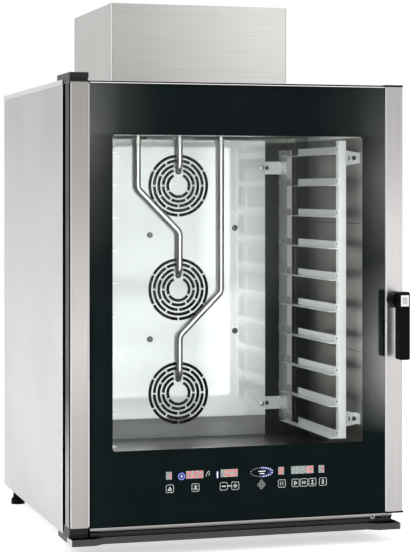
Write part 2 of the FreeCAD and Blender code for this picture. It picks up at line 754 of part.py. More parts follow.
def baffle_bolt(x, z):
    """A dome-headed bolt with the column that spaces the baffle from the back wall."""
    def at(y):
        return V(x, y, z)
    skin = BAFFLE_Y + BAFFLE_SHEET
    head_front = BAFFLE_Y - BOLT_HEAD_HEIGHT
    head = rod(BOLT_HEAD_RADIUS, at(head_front), at(BAFFLE_Y))
    rim = [edge for edge in head.Edges if edge.BoundBox.YMax < head_front + BOLT_HEAD_HEIGHT / 2]
    head = head.makeFillet(BOLT_HEAD_HEIGHT / 2, rim)
    shank = rod(BOLT_SHANK_RADIUS, at(BAFFLE_Y), at(skin))
    column = rod(BOLT_COLUMN_RADIUS, at(skin), at(BACK_WALL))
    return join([head, shank, column])


def fan_wheel(z):
    """A radial fan wheel on its shaft: back plate, straight blades, hub and shaft."""
    plate_front = WHEEL_BACK - WHEEL_SHEET
    plate = rod(WHEEL_RADIUS, V(0, plate_front, z), V(0, WHEEL_BACK, z))
    hub = rod(HUB_RADIUS, V(0, WHEEL_FRONT, z), V(0, WHEEL_BACK + HUB_TAIL, z))
    shaft_end = MOTOR_FRONT + MOTOR_BORE_DEPTH - SHAFT_END_PLAY
    shaft = rod(SHAFT_RADIUS, V(0, WHEEL_FRONT, z), V(0, shaft_end, z))
    pieces = [plate, hub, shaft]
    for i in range(BLADE_COUNT):
        half = WHEEL_SHEET / 2
        blade = box(BLADE_INNER, WHEEL_RADIUS, WHEEL_FRONT, plate_front, z - half, z + half)
        blade.rotate(V(0, 0, z), V(0, 1, 0), 360.0 / BLADE_COUNT * i)
        pieces.append(blade)
    return join(pieces)


def shaft_seal(z):
    """The packing ring where a shaft leaves the chamber."""
    end = V(0, LINER_BACK + SHAFT_SEAL_LENGTH, z)
    return sleeve(SHAFT_SEAL_RADIUS, SHAFT_RADIUS + SHAFT_PLAY, V(0, LINER_BACK, z), end)


def motor_plate():
    """The upright plate behind the wool that carries the three motors."""
    half = MOTOR_PLATE_WIDTH / 2
    plate = box(-half, half, WOOL_REAR, MOTOR_FRONT, DECK, WOOL_ROOF)
    cuts = []
    for z in FAN_Z:
        cuts.append(rod(SHAFT_SEAL_RADIUS, V(0, WOOL_REAR, z), V(0, MOTOR_FRONT, z)))
    return plate.cut(cuts)


def fan_motor(z):
    """A fan motor: square flange, round body and the bore that holds the shaft."""
    half = MOTOR_FLANGE / 2
    flange_back = MOTOR_FRONT + MOTOR_FLANGE_DEPTH
    flange = box(-half, half, MOTOR_FRONT, flange_back, z - half, z + half)
    body = rod(MOTOR_RADIUS, V(0, flange_back, z), V(0, MOTOR_FRONT + MOTOR_LENGTH, z))
    bore = rod(SHAFT_RADIUS + SHAFT_PLAY, V(0, MOTOR_FRONT, z), V(0, MOTOR_FRONT + MOTOR_BORE_DEPTH, z))
    return join([flange, body]).cut(bore)


# Water tubes, manifold, solenoid and drain
def water_tube(top_x, fan_z):
    """A steam water tube: down from the manifold, across to the middle and in through the grille."""
    end_z = fan_z + TUBE_RISE
    points = [V(top_x, TUBE_Y, MANIFOLD_LOW)]
    if top_x:
        jog_low = end_z + TUBE_DROP
        points.append(V(top_x, TUBE_Y, jog_low + abs(top_x)))
        points.append(V(0, TUBE_Y, jog_low))
    points.append(V(0, TUBE_Y, end_z))
    points.append(V(0, BAFFLE_Y + TUBE_REACH, end_z))
    return bent_tube(points, TUBE_RADIUS, TUBE_WALL, TUBE_BEND)


def water_manifold():
    """The square bar that feeds the tubes, with its supply pipe to the solenoid."""
    half = TUBE_SIDE_X + MANIFOLD_OVERHANG
    back = TUBE_Y + MANIFOLD_SIZE / 2
    bar = box(-half, half, TUBE_Y - MANIFOLD_SIZE / 2, back, MANIFOLD_LOW, MANIFOLD_LOW + MANIFOLD_SIZE)
    supply = rod(TUBE_RADIUS, V(FEED_X, back, MANIFOLD_Z), V(FEED_X, SOLENOID_FRONT, MANIFOLD_Z))
    return join([bar, supply])


def water_solenoid():
    """The inlet valve on the rear panel, with its coil and threaded nipple."""
    half = SOLENOID_WIDTH / 2
    body = box(FEED_X - half, FEED_X + half, SOLENOID_FRONT, REAR_INSIDE,
               MANIFOLD_Z - half, MANIFOLD_Z + half)
    coil_y = (SOLENOID_FRONT + REAR_INSIDE) / 2
    coil_start = V(FEED_X + half, coil_y, MANIFOLD_Z)
    coil = rod(COIL_RADIUS, coil_start, coil_start + V(COIL_LENGTH, 0, 0))
    inside = V(FEED_X, REAR_INSIDE, MANIFOLD_Z)
    panel = V(FEED_X, REAR, MANIFOLD_Z)
    end = V(FEED_X, REAR_END, MANIFOLD_Z)
    nipple = join([rod(GAS_PIPE_RADIUS, inside, panel), rod(THREAD_RADIUS, panel, end)])
    return join([body, coil, nipple]).cut(rod(GAS_PIPE_RADIUS - GAS_PIPE_WALL, inside, end))


def drain_strainer():
    """The perforated disc over the floor drain."""
    top = FLOOR + STRAINER_SHEET
    disc = rod(STRAINER_RADIUS, V(0, DRAIN_FROM_FRONT, FLOOR), V(0, DRAIN_FROM_FRONT, top))
    cuts = []
    for ring_radius in (STRAINER_INNER_RING, STRAINER_OUTER_RING):
        for i in range(STRAINER_HOLES):
            angle = 2 * math.pi * i / STRAINER_HOLES
            x = ring_radius * math.cos(angle)
            y = DRAIN_FROM_FRONT + ring_radius * math.sin(angle)
            cuts.append(rod(STRAINER_HOLE, V(x, y, FLOOR), V(x, y, top)))
    return disc.cut(cuts)


def drain_pipe():
    """The drain from the chamber floor, down, sideways and out at the back."""
    points = [V(0, DRAIN_FROM_FRONT, LINER_UNDER), V(0, DRAIN_FROM_FRONT, DRAIN_Z),
              V(DRAIN_X, DRAIN_FROM_FRONT, DRAIN_Z), V(DRAIN_X, REAR_END, DRAIN_Z)]
    pipe = bent_tube(points, DRAIN_RADIUS, DRAIN_WALL, DRAIN_BEND)
    panel = V(DRAIN_X, REAR, DRAIN_Z)
    socket = sleeve(DRAIN_RADIUS + DRAIN_WALL, DRAIN_RADIUS - DRAIN_WALL, panel, points[-1])
    return join([pipe, socket])


# Gas plant and flue
def exchanger_tube_places():
    """Sideways places of the upright fire tubes."""
    places = []
    for i in range(EXCHANGER_TUBES):
        x = HEADER_WIDTH / 2 - EXCHANGER_TUBE_INSET - EXCHANGER_TUBE_PITCH * i
        places += [-x, x]
    return places


def exchanger_form(shrink):
    """Both headers and the fire tubes, drawn in by a wall thickness."""
    half = HEADER_WIDTH / 2 - shrink
    front = HEADER_FRONT + shrink
    back = HEADER_BACK - shrink
    pieces = []
    for low in (HEADER_LOW, HEADER_HIGH - HEADER_HEIGHT):
        pieces.append(box(-half, half, front, back, low + shrink, low + HEADER_HEIGHT - shrink))
    tube_low = HEADER_LOW + HEADER_HEIGHT / 2
    tube_high = HEADER_HIGH - HEADER_HEIGHT / 2
    for x in exchanger_tube_places():
        radius = EXCHANGER_TUBE_RADIUS - shrink
        pieces.append(rod(radius, V(x, HEADER_Y, tube_low), V(x, HEADER_Y, tube_high)))
    return join(pieces)


def heat_exchanger():
    """The fire-tube exchanger beside the fans, hollow, with feet on the chamber floor."""
    body = exchanger_form(0.0)
    half = HEADER_FOOT / 2
    feet = []
    for x in (-HEADER_FOOT_X, HEADER_FOOT_X):
        feet.append(box(x - half, x + half, HEADER_Y - half, HEADER_Y + half, FLOOR, HEADER_LOW))
    inner_flue = FLUE_WIDTH / 2 - FLUE_SHEET
    flue = box(-inner_flue, inner_flue, HEADER_FRONT + FLUE_SHEET, HEADER_BACK - FLUE_SHEET,
               HEADER_HIGH - HEADER_SHEET, HEADER_HIGH)
    skin = HEADER_LOW + HEADER_SHEET
    gas = rod(BURNER_RADIUS + HOLE_PLAY, V(0, HEADER_Y, HEADER_LOW), V(0, HEADER_Y, skin))
    spark = rod(IGNITER_RADIUS + HOLE_PLAY, V(IGNITER_X, HEADER_Y, HEADER_LOW), V(IGNITER_X, HEADER_Y, skin))
    return join([body] + feet).cut([exchanger_form(HEADER_SHEET), flue, gas, spark])


def blower_outlet():
    """Height at which the blower hands the gas mixture to the burner."""
    return DECK + BLOWER_NECK_TOP


def burner_tube():
    """The burner: a riser from the blower and a closed cross tube with rows of ports."""
    riser = rod(BURNER_RADIUS, V(0, HEADER_Y, blower_outlet()), V(0, HEADER_Y, BURNER_Z))
    cross = rod(BURNER_RADIUS, V(-BURNER_HALF, HEADER_Y, BURNER_Z), V(BURNER_HALF, HEADER_Y, BURNER_Z))
    inner = BURNER_RADIUS - BURNER_WALL
    inner_half = BURNER_HALF - BURNER_WALL
    riser_bore = rod(inner, V(0, HEADER_Y, blower_outlet()), V(0, HEADER_Y, BURNER_Z))
    cross_bore = rod(inner, V(-inner_half, HEADER_Y, BURNER_Z), V(inner_half, HEADER_Y, BURNER_Z))
    cuts = [riser_bore, cross_bore]
    pitch = 2 * inner_half / BURNER_PORTS
    for i in range(BURNER_PORTS):
        x = -inner_half + pitch * (i + 0.5)
        port_top = V(x, HEADER_Y, BURNER_Z + 2 * BURNER_RADIUS)
        cuts.append(rod(BURNER_PORT_RADIUS, V(x, HEADER_Y, BURNER_Z), port_top))
    return join([riser, cross]).cut(cuts)


def igniter():
    """The spark rod that stands in the end of the lower header."""
    def at(z):
        return V(IGNITER_X, HEADER_Y, z)
    flange_low = LINER_UNDER - IGNITER_FLANGE_HEIGHT
    spark = rod(IGNITER_RADIUS, at(LINER_UNDER), at(BURNER_Z))
    flange = rod(IGNITER_FLANGE_RADIUS, at(flange_low), at(LINER_UNDER))
    tail = rod(IGNITER_RADIUS, at(flange_low - IGNITER_TAIL), at(flange_low))
    return join([spark, flange, tail])


def premix_blower():
    """The premix blower on the base pan: scroll, motor, gas port and outlet neck."""
    x = -BLOWER_OFFSET
    top = DECK + BLOWER_HEIGHT
    scroll = rod(BLOWER_RADIUS, V(x, HEADER_Y, DECK), V(x, HEADER_Y, top))
    half = BLOWER_DUCT / 2
    duct = box(x, BLOWER_DUCT, HEADER_Y - half, HEADER_Y + half, SERVICE_Z - half, top)
    motor = rod(BLOWER_MOTOR_RADIUS, V(x, HEADER_Y, top), V(x, HEADER_Y, top + BLOWER_MOTOR_HEIGHT))
    neck = rod(BLOWER_NECK_RADIUS, V(0, HEADER_Y, top), V(0, HEADER_Y, blower_outlet()))
    throat = rod(BURNER_RADIUS - BURNER_WALL, V(0, HEADER_Y, SERVICE_Z), V(0, HEADER_Y, blower_outlet()))
    return join([scroll, duct, motor, neck]).cut(throat)


def gas_valve():
    """The gas control block with the short pipe that feeds the blower."""
    half = GAS_VALVE_WIDTH / 2
    left = GAS_VALVE_X - half
    front = HEADER_Y - GAS_VALVE_DEPTH / 2
    body = box(left, left + GAS_VALVE_WIDTH, front, front + GAS_VALVE_DEPTH, DECK, DECK + GAS_VALVE_HEIGHT)
    link = rod(GAS_LINK_RADIUS, V(BLOWER_DUCT, HEADER_Y, SERVICE_Z), V(left, HEADER_Y, SERVICE_Z))
    top = DECK + GAS_VALVE_HEIGHT
    knob_top = top + GAS_LINK_RADIUS
    knob = rod(GAS_LINK_RADIUS, V(GAS_VALVE_X, HEADER_Y, top), V(GAS_VALVE_X, HEADER_Y, knob_top))
    return join([body, link, knob])


def gas_inlet_pipe():
    """The gas pipe from the valve through the rear panel, with its threaded end outside."""
    start = V(GAS_VALVE_X, HEADER_Y + GAS_VALVE_DEPTH / 2, SERVICE_Z)
    panel = V(GAS_VALVE_X, REAR, SERVICE_Z)
    end = V(GAS_VALVE_X, REAR_END, SERVICE_Z)
    bore = rod(GAS_PIPE_RADIUS - GAS_PIPE_WALL, start, end)
    return join([rod(GAS_PIPE_RADIUS, start, panel), rod(THREAD_RADIUS, panel, end)]).cut(bore)


def flue_duct():
    """The flat duct from the upper header into the flue box."""
    half = FLUE_WIDTH / 2
    top = ROOF + FLUE_RISE
    outer = box(-half, half, HEADER_FRONT, HEADER_BACK, HEADER_HIGH, top)
    inner_half = half - FLUE_SHEET
    inner = box(-inner_half, inner_half, HEADER_FRONT + FLUE_SHEET, HEADER_BACK - FLUE_SHEET,
                HEADER_HIGH, top)
    return outer.cut(inner)


def chimney_block(shrink, low, high):
    """The plan of the flue box as a block: small bends in front, large ones behind."""
    half = CHIMNEY_WIDTH / 2 - shrink
    front = CHIMNEY_FRONT + shrink
    back = CHIMNEY_BACK - shrink
    block = box(-half, half, front, back, low, high)
    block = block.makeFillet(CHIMNEY_ROUND - shrink, upright_edges(block, back))
    return block.makeFillet(CHIMNEY_EDGE - shrink, upright_edges(block, front))


def chimney_shell():
    """The upright wall of the flue box, bent from one sheet."""
    top = CHIMNEY_TOP - CASE_SHEET
    return chimney_block(0.0, ROOF, top).cut(chimney_block(CASE_SHEET, ROOF, top))


def outlet_at(z):
    """A point on the flue outlet's axis."""
    return V(0, (CHIMNEY_FRONT + CHIMNEY_BACK) / 2, z)


def chimney_lid():
    """The lid of the flue box with its round hole."""
    low = CHIMNEY_TOP - CASE_SHEET
    hole = rod(OUTLET_RADIUS + OUTLET_WALL, outlet_at(low), outlet_at(CHIMNEY_TOP))
    return chimney_block(0.0, low, CHIMNEY_TOP).cut(hole)


def outlet_collar():
    """The round collar in the lid that takes a flue pipe."""
    low = outlet_at(CHIMNEY_TOP - OUTLET_DEPTH)
    return sleeve(OUTLET_RADIUS + OUTLET_WALL, OUTLET_RADIUS, low, outlet_at(CHIMNEY_TOP))


# Electrical pieces
def power_board():
    """The power board on its standoffs, with relays and a transformer block."""
    half = BOARD_WIDTH / 2
    front = FRONT + BOARD_SETBACK
    low = DECK + BOARD_STANDOFF
    top = low + BOARD_SHEET
    pieces = [box(BOARD_X - half, BOARD_X + half, front, front + BOARD_LENGTH, low, top)]
    for x in (BOARD_X - half + STANDOFF_INSET, BOARD_X + half - STANDOFF_INSET):
        for y in (front + STANDOFF_INSET, front + BOARD_LENGTH - STANDOFF_INSET):
            pieces.append(rod(STANDOFF_RADIUS, V(x, y, DECK), V(x, y, low)))
    relay_y = front + RELAY_EDGE
    for i in range(RELAY_COUNT):
        x = BOARD_X - half + RELAY_EDGE + RELAY_PITCH * i
        pieces.append(box(x, x + RELAY_SIZE, relay_y, relay_y + RELAY_SIZE, top, top + RELAY_SIZE))
    block_y = front + BOARD_LENGTH / 2
    block_half = TRANSFORMER_SIZE / 2
    pieces.append(box(BOARD_X - block_half, BOARD_X + block_half, block_y, block_y + TRANSFORMER_SIZE,
                      top, top + TRANSFORMER_HEIGHT))
    return join(pieces)


def cable_gland():
    """The cable gland in the rear panel."""
    def at(y):
        return V(GLAND_X, y, SERVICE_Z)
    nut = rod(GLAND_FLANGE, at(REAR_INSIDE - GLAND_NUT), at(REAR_INSIDE))
    thread = rod(GLAND_THREAD, at(REAR_INSIDE), at(REAR))
    dome = rod(GLAND_FLANGE, at(REAR), at(REAR_END))
    return join([nut, thread, dome]).cut(rod(GLAND_BORE, at(REAR_INSIDE - GLAND_NUT), at(REAR_END)))


# Tray racks
def mirrored(solids, side):
    """The solids as built for the right, or mirrored for the left."""
    if side > 0:
        return solids
    return [solid.mirror(V(0, 0, 0), V(1, 0, 0)) for solid in solids]


def front_channel():
    """The channel of a front post, which shows its web to the door."""
    outer = RAIL_OUTER + POST_WIDTH
    back = POST_FRONT + POST_DEPTH
    low = RAIL_Z[0] - POST_RAIL_LOW
    high = RAIL_Z[-1] + RAIL_FLANGE + POST_RAIL_HIGH
    body = box(RAIL_OUTER, outer, POST_FRONT, back, low, high)
    hollow = box(RAIL_OUTER + POST_SHEET, outer - POST_SHEET, POST_FRONT + POST_SHEET, back, low, high)
    return body.cut(hollow)


def front_post():
    """The front post with the two brackets that tie it to the side wall."""
    start = RAIL_OUTER + POST_WIDTH
    web_y = POST_FRONT + POST_DEPTH / 2
    half = BRACKET_HEIGHT / 2
    tip = BRACKET_TIP / 2
    foot_half = BRACKET_FOOT / 2
    pieces = [front_channel()]
    for z in (RAIL_Z[0] + BRACKET_LOW, RAIL_Z[-1] - BRACKET_HIGH):
        outline = [V(start, web_y, z - half), V(MOUTH, web_y, z - tip), V(MOUTH, web_y, z + tip),
                   V(start, web_y, z + half), V(start, web_y, z - half)]
        pieces.append(Part.Face(Part.makePolygon(outline)).extrude(V(0, BRACKET_SHEET, 0)))
        pieces.append(box(MOUTH - BRACKET_SHEET, MOUTH, web_y - foot_half, web_y + foot_half,
                          z - tip, z + tip))
    return join(pieces)


def rear_post():
    """The flat rear post with its folded edge, and the two straps that tie it to the baffle's folded side."""
    low = RAIL_Z[0] - POST_RAIL_LOW
    high = RAIL_Z[-1] + RAIL_FLANGE
    web = box(RAIL_OUTER, RAIL_OUTER + POST_SHEET, REAR_POST_FRONT, RAIL_BACK, low, high)
    fold = box(RAIL_OUTER, RAIL_OUTER + REAR_POST_FOLD, REAR_POST_FRONT, REAR_POST_FRONT + POST_SHEET,
               low, high)
    strap_y = BAFFLE_Y + STRAP_SETBACK
    half = STRAP_HEIGHT / 2
    pieces = [web, fold]
    for z in (RAIL_Z[0] + STRAP_LOW, RAIL_Z[-1] - STRAP_HIGH):
        pieces.append(box(BAFFLE_HALF, RAIL_OUTER, strap_y, strap_y + BRACKET_SHEET, z - half, z + half))
    return join(pieces)


def tray_rail(z):
    """An angle rail: a ledge that ends at the rear post, and an upright flange with a gap near the back."""
    ledge = box(TRAY_HALF - RAIL_LEDGE, RAIL_OUTER, RAIL_FRONT, REAR_POST_FRONT, z - RAIL_SHEET, z)
    gap_end = RAIL_BACK - RAIL_GAP_END
    gap_start = gap_end - RAIL_GAP_LENGTH
    front_flange = box(TRAY_HALF, RAIL_OUTER, RAIL_FRONT, gap_start, z, z + RAIL_FLANGE)
    rear_flange = box(TRAY_HALF, RAIL_OUTER, gap_end, RAIL_BACK, z, z + RAIL_FLANGE)
    return join([ledge, front_flange, rear_flange])


# Drip tray under the door
def tray_back():
    """Depth of the drip tray's rear wall."""
    return FRONT + TRAY_DEPTH_BEHIND


def tray_ends():
    """Sideways places of the drip tray's two ends, end caps included."""
    return (-HALF, HALF - TRAY_RIGHT_GAP)


def tray_block():
    """The drip tray as a full block: its ends stand forward of its middle."""
    low = BASE - TRAY_HEIGHT
    left = tray_ends()[0] + TRAY_CAP_SHEET
    right = tray_ends()[1] - TRAY_CAP_SHEET
    front = -TRAY_FRONT
    middle = front + TRAY_SETBACK
    slope_end = TRAY_END_LENGTH + TRAY_SLOPE
    plan = [(left, front), (left + TRAY_END_LENGTH, front), (left + slope_end, middle),
            (right - slope_end, middle), (right - TRAY_END_LENGTH, front), (right, front),
            (right, tray_back()), (left, tray_back()), (left, front)]
    outline = Part.makePolygon([V(x, y, low) for x, y in plan])
    block = Part.Face(outline).extrude(V(0, 0, TRAY_HEIGHT))
    bends = upright_edges(block, middle)
    for edge in upright_edges(block, front):
        if left + TINY < edge.Vertexes[0].X < right - TINY:
            bends.append(edge)
    return block.makeFillet(TRAY_BEND, bends)


def drip_tray():
    """The open tray that catches water from the door, hung under the base pan."""
    block = tray_block()
    floor = [face for face in block.Faces if face.BoundBox.ZMax < BASE - TRAY_HEIGHT + TINY][0]
    hollow = Part.Face(floor.OuterWire.makeOffset2D(-TRAY_SHEET)).extrude(V(0, 0, TRAY_HEIGHT))
    hollow.translate(V(0, 0, TRAY_SHEET))
    return block.cut(hollow)


def tray_cap(left):
    """A plate that closes one end of the drip tray."""
    front = -TRAY_FRONT
    return box(left, left + TRAY_CAP_SHEET, front, front + TRAY_CAP_DEPTH, BASE - TRAY_HEIGHT, BASE)


# Hinges
def hinge_tongue_x():
    """Sideways place of the tongue that carries the lower hinge plate."""
    return -INNER_HALF + PANEL_RETURN + HINGE_TONGUE / 2 + HOLE_PLAY


def hinge_pin(low, high):
    """A hinge pin on the door's axis."""
    return rod(HINGE_PIN_RADIUS, V(HINGE_AXIS_X, HINGE_Y, low), V(HINGE_AXIS_X, HINGE_Y, high))


def top_hinge_plate():
    """The black plate on the roof with the upper pin."""
    high = ROOF + HINGE_PLATE_TOP
    right = -HALF + HINGE_PLATE_WIDTH
    arm = box(-HALF, right - HINGE_STEP, 0, HINGE_PLATE_REACH, ROOF, high)
    head = box(-HALF, right, 0, HINGE_STEP_Y, ROOF, high)
    return join([arm, head, hinge_pin(ROOF - HINGE_PIN_LENGTH, ROOF)])


def lower_hinge_plate():
    """The black plate in front of the base pan with the lower pin and its tongue."""
    high = BASE + HINGE_PLATE_LOW
    right = -HALF + HINGE_PLATE_WIDTH
    plate = box(-HALF, right, HINGE_Y - HINGE_X, FRONT, BASE, high)
    half = HINGE_TONGUE / 2
    tongue = box(hinge_tongue_x() - half, hinge_tongue_x() + half, FRONT, HINGE_PLATE_REACH, DECK, high)
    return join([plate, tongue, hinge_pin(high, high + HINGE_PIN_LENGTH)])


def hinge_block(low, high):
    """A black block on the door that turns on a hinge pin."""
    half = HINGE_BLOCK_DEPTH / 2
    block = box(-HALF, -HALF + HINGE_PLATE_WIDTH, HINGE_Y - half, HINGE_Y + half, low, high)
    radius = HINGE_PIN_RADIUS + HINGE_PIN_PLAY
    bore = rod(radius, V(HINGE_AXIS_X, HINGE_Y, low), V(HINGE_AXIS_X, HINGE_Y, high))
    return block.cut(bore)


# Door
def door_profile(left, cuts):
    """A hollow upright door profile with rounded front edges."""
    body = box(left, left + PROFILE_WIDTH, 0, DOOR_DEPTH, DOOR_LOW, DOOR_TOP)
    body = body.makeFillet(PROFILE_ROUND, upright_edges(body, 0))
    hollow = box(left + PROFILE_WALL, left + PROFILE_WIDTH - PROFILE_WALL,
                 PROFILE_WALL, DOOR_DEPTH - PROFILE_WALL, DOOR_LOW, DOOR_TOP)
    inner_round = PROFILE_ROUND - PROFILE_WALL
    hollow = hollow.makeFillet(inner_round, upright_edges(hollow, PROFILE_WALL))
    return body.cut([hollow] + cuts)


def door_rail(low, high):
    """A cross rail between the profiles, hollow along its length."""
    body = box(-GLASS_HALF, GLASS_HALF, BORDER_BACK, INNER_FACE, low, high)
    hollow = box(-GLASS_HALF, GLASS_HALF, BORDER_BACK + PROFILE_WALL, INNER_FACE - PROFILE_WALL,
                 low + PROFILE_WALL, high - PROFILE_WALL)
    return body.cut(hollow)


def outer_glass():
    """The toughened front pane."""
    return box(-GLASS_HALF, GLASS_HALF, GLASS_RECESS, GLASS_BACK, DOOR_LOW, DOOR_TOP)


def display_boxes(y0, y1):
    """The digit windows of the control strip as blocks between two depths."""
    boxes = []
    half = DIGIT_HEIGHT / 2
    for left, digits in DISPLAY_GROUPS:
        start = PANEL_X + left
        boxes.append(box(start, start + DIGIT_PITCH * digits, y0, y1, PANEL_Z - half, PANEL_Z + half))
    return boxes


def glass_border():
    """The black enamel behind the front pane, clear at the window and the digits."""
    sheet = box(-GLASS_HALF, GLASS_HALF, GLASS_BACK, BORDER_BACK, DOOR_LOW, DOOR_TOP)
    half = GLASS_HALF - WINDOW_SIDE
    window = rounded_plate(-half, half, DOOR_LOW + WINDOW_LOW, DOOR_TOP - WINDOW_HIGH, WINDOW_CORNER,
                           GLASS_BACK, BORDER_BACK)
    return sheet.cut([window] + display_boxes(GLASS_BACK, BORDER_BACK))


def control_board():
    """The touch board behind the digits."""
    first = PANEL_X + DISPLAY_GROUPS[0][0]
    last = PANEL_X + DISPLAY_GROUPS[-1][0] + DIGIT_PITCH * DISPLAY_GROUPS[-1][1]
    front = GLASS_BACK + DISPLAY_DEPTH
    top = PANEL_Z + DIGIT_HEIGHT / 2 + CONTROL_BOARD_MARGIN
    board = box(first - CONTROL_BOARD_MARGIN, last + CONTROL_BOARD_MARGIN, front, front + BOARD_SHEET,
                PANEL_Z - CONTROL_BOARD_DROP, top)
    chips = []
    for left, digits in DISPLAY_GROUPS:
        x = PANEL_X + left
        back = front + BOARD_SHEET
        chips.append(box(x, x + DIGIT_PITCH, back, back + BOARD_SHEET, PANEL_Z - DIGIT_HEIGHT, PANEL_Z))
    return join([board] + chips)


def inner_panel():
    """The steel sheet on the chamber side of the door, with its window."""
    sheet = box(-GLASS_HALF, GLASS_HALF, INNER_FACE, DOOR_DEPTH, DOOR_LOW, DOOR_TOP)
    half = GLASS_HALF - INNER_WINDOW_SIDE
    window = rounded_plate(-half, half, DOOR_LOW + INNER_WINDOW_LOW, DOOR_TOP - INNER_WINDOW_HIGH,
                           INNER_WINDOW_CORNER, INNER_FACE, DOOR_DEPTH)
    return sheet.cut(window)


def inner_glass():
    """The inner pane, bonded to the back of the inner panel."""
    half = GLASS_HALF - INNER_WINDOW_SIDE + INNER_GLASS_LAP
    low = DOOR_LOW + INNER_WINDOW_LOW - INNER_GLASS_LAP
    high = DOOR_TOP - INNER_WINDOW_HIGH + INNER_GLASS_LAP
    return box(-half, half, INNER_FACE - INNER_GLASS, INNER_FACE, low, high)


def door_caps():
    """The black strips that close the door's upper and lower ends."""
    front = CAP_STRIP_INSET
    back = DOOR_DEPTH - CAP_STRIP_INSET
    left = -HALF + HINGE_PLATE_WIDTH
    strip = box(left, HALF, front, back, DOOR_TOP, DOOR_TOP + CAP_STRIP)
    plug = box(GLASS_HALF, HALF, front, back, DOOR_TOP, DOOR_TOP + PROFILE_CAP)
    return [join([strip, plug]), box(left, HALF, front, back, GUTTER_TOP, DOOR_LOW)]


def gutter_form(shrink):
    """The gutter's outer or inner form: open at the top, round along its lower edges."""
    left = -GLASS_HALF + GUTTER_LEFT + shrink
    right = HALF - GUTTER_RIGHT - shrink
    low = GUTTER_TOP - GUTTER_HEIGHT + shrink
    form = box(left, right, GUTTER_FRONT + shrink, DOOR_DEPTH + GUTTER_BACK - shrink, low, GUTTER_TOP)
    lower = [edge for edge in form.Edges
             if edge.BoundBox.ZMax < low + TINY and edge.BoundBox.XLength > GUTTER_WALL]
    return form.makeFillet(GUTTER_ROUND - shrink, lower)


def drip_gutter():
    """The trough along the door's lower edge."""
    return gutter_form(0.0).cut(gutter_form(GUTTER_WALL))


# Handle and latch
def spindle_at(y):
    """A point on the handle's axis."""
    return V(HANDLE_X, y, HANDLE_Z)


def spindle_bush():
    """The bush in the right-hand profile that the spindle turns in."""
    return sleeve(BUSH_RADIUS, SPINDLE_RADIUS + SPINDLE_PLAY, spindle_at(0), spindle_at(DOOR_DEPTH))


def handle_lever():
    """The black lever: a round boss at the door and a grip that hangs down."""
    grip_back = -HANDLE_REACH + HANDLE_THICKNESS
    boss = rod(HANDLE_BOSS_RADIUS, spindle_at(grip_back), spindle_at(-HANDLE_PLAY))
    half = HANDLE_WIDTH / 2
    grip = box(HANDLE_X - half, HANDLE_X + half, -HANDLE_REACH, grip_back,
               HANDLE_Z - HANDLE_DROP, HANDLE_Z + HANDLE_BOSS_RADIUS)
    grip = grip.makeFillet(HANDLE_ROUND, upright_edges(grip, -HANDLE_REACH) + upright_edges(grip, grip_back))
    bore = rod(SPINDLE_RADIUS, spindle_at(grip_back), spindle_at(-HANDLE_PLAY))
    return join([boss, grip]).cut(bore)


def handle_cap():
    """The pale square cap over the lever's screw."""
    half = CAP_WIDTH / 2
    rise = CAP_HEIGHT / 2
    return box(HANDLE_X - half, HANDLE_X + half, FRONT_END, -HANDLE_REACH, HANDLE_Z - rise, HANDLE_Z + rise)


def latch_spindle():
    """The spindle with the cross bar that turns behind the face sheet."""
    grip_back = -HANDLE_REACH + HANDLE_THICKNESS
    spindle = rod(SPINDLE_RADIUS, spindle_at(grip_back), spindle_at(LATCH_BACK))
    half = LATCH_LENGTH / 2
    rise = LATCH_WIDTH / 2
    bar = box(HANDLE_X - half, HANDLE_X + half, LATCH_FRONT, LATCH_BACK, HANDLE_Z - rise, HANDLE_Z + rise)
    return join([spindle, bar])


def write_cabinet():
    """Everything that stands still."""
    save("feet", [foot(x, y) for x, y in foot_places()])
    save("base_pan", [base_pan()])
    save("left_side_panel", [side_panel(-1)])
    save("right_side_panel", [side_panel(1)])
    save("rear_panel", [rear_panel()])
    save("top_cover", [top_cover()])
    save("front_frame", [front_frame()])
    save("cooking_chamber", [cooking_chamber()])
    save("insulation_wrap", [insulation_wrap()])
    save("door_seal", [door_seal()])
    save("chimney_shell", [chimney_shell()])
    save("chimney_lid", [chimney_lid(), outlet_collar()])
    save("drip_tray", [drip_tray()])
    save("drip_tray_caps", [tray_cap(tray_ends()[0]), tray_cap(tray_ends()[1] - TRAY_CAP_SHEET)])
    save("top_hinge_plate", [top_hinge_plate()])
    save("lower_hinge_plate", [lower_hinge_plate()])


def write_inside():
    """The fixed pieces in and round the chamber."""
    save("fan_baffle", [fan_baffle()])
    save("baffle_bolts", [baffle_bolt(x, z) for x, z in baffle_bolt_places()])
    save("water_tube_left", [water_tube(-TUBE_SIDE_X, FAN_Z[1])])
    save("water_tube_centre", [water_tube(0, FAN_Z[2])])
    save("water_tube_right", [water_tube(TUBE_SIDE_X, FAN_Z[0])])
    save("water_manifold", [water_manifold()])
    save("water_solenoid", [water_solenoid()])
    save("drain_strainer", [drain_strainer()])
    save("drain_pipe", [drain_pipe()])
    save("heat_exchanger", [heat_exchanger()])
    save("burner_tube", [burner_tube()])
    save("igniter", [igniter()])
    save("premix_blower", [premix_blower()])
    save("gas_valve", [gas_valve()])
    save("gas_inlet_pipe", [gas_inlet_pipe()])
    save("flue_duct", [flue_duct()])
    save("motor_plate", [motor_plate()])
    save("fan_motors", [fan_motor(z) for z in FAN_Z])
    save("shaft_seals", [shaft_seal(z) for z in FAN_Z])
    save("power_board", [power_board()])
    save("cable_gland", [cable_gland()])
    for side, name in ((-1, "left"), (1, "right")):
        save(name + "_rack_posts", mirrored([front_post(), rear_post()], side))
        save(name + "_tray_rails", mirrored([tray_rail(z) for z in RAIL_Z], side))


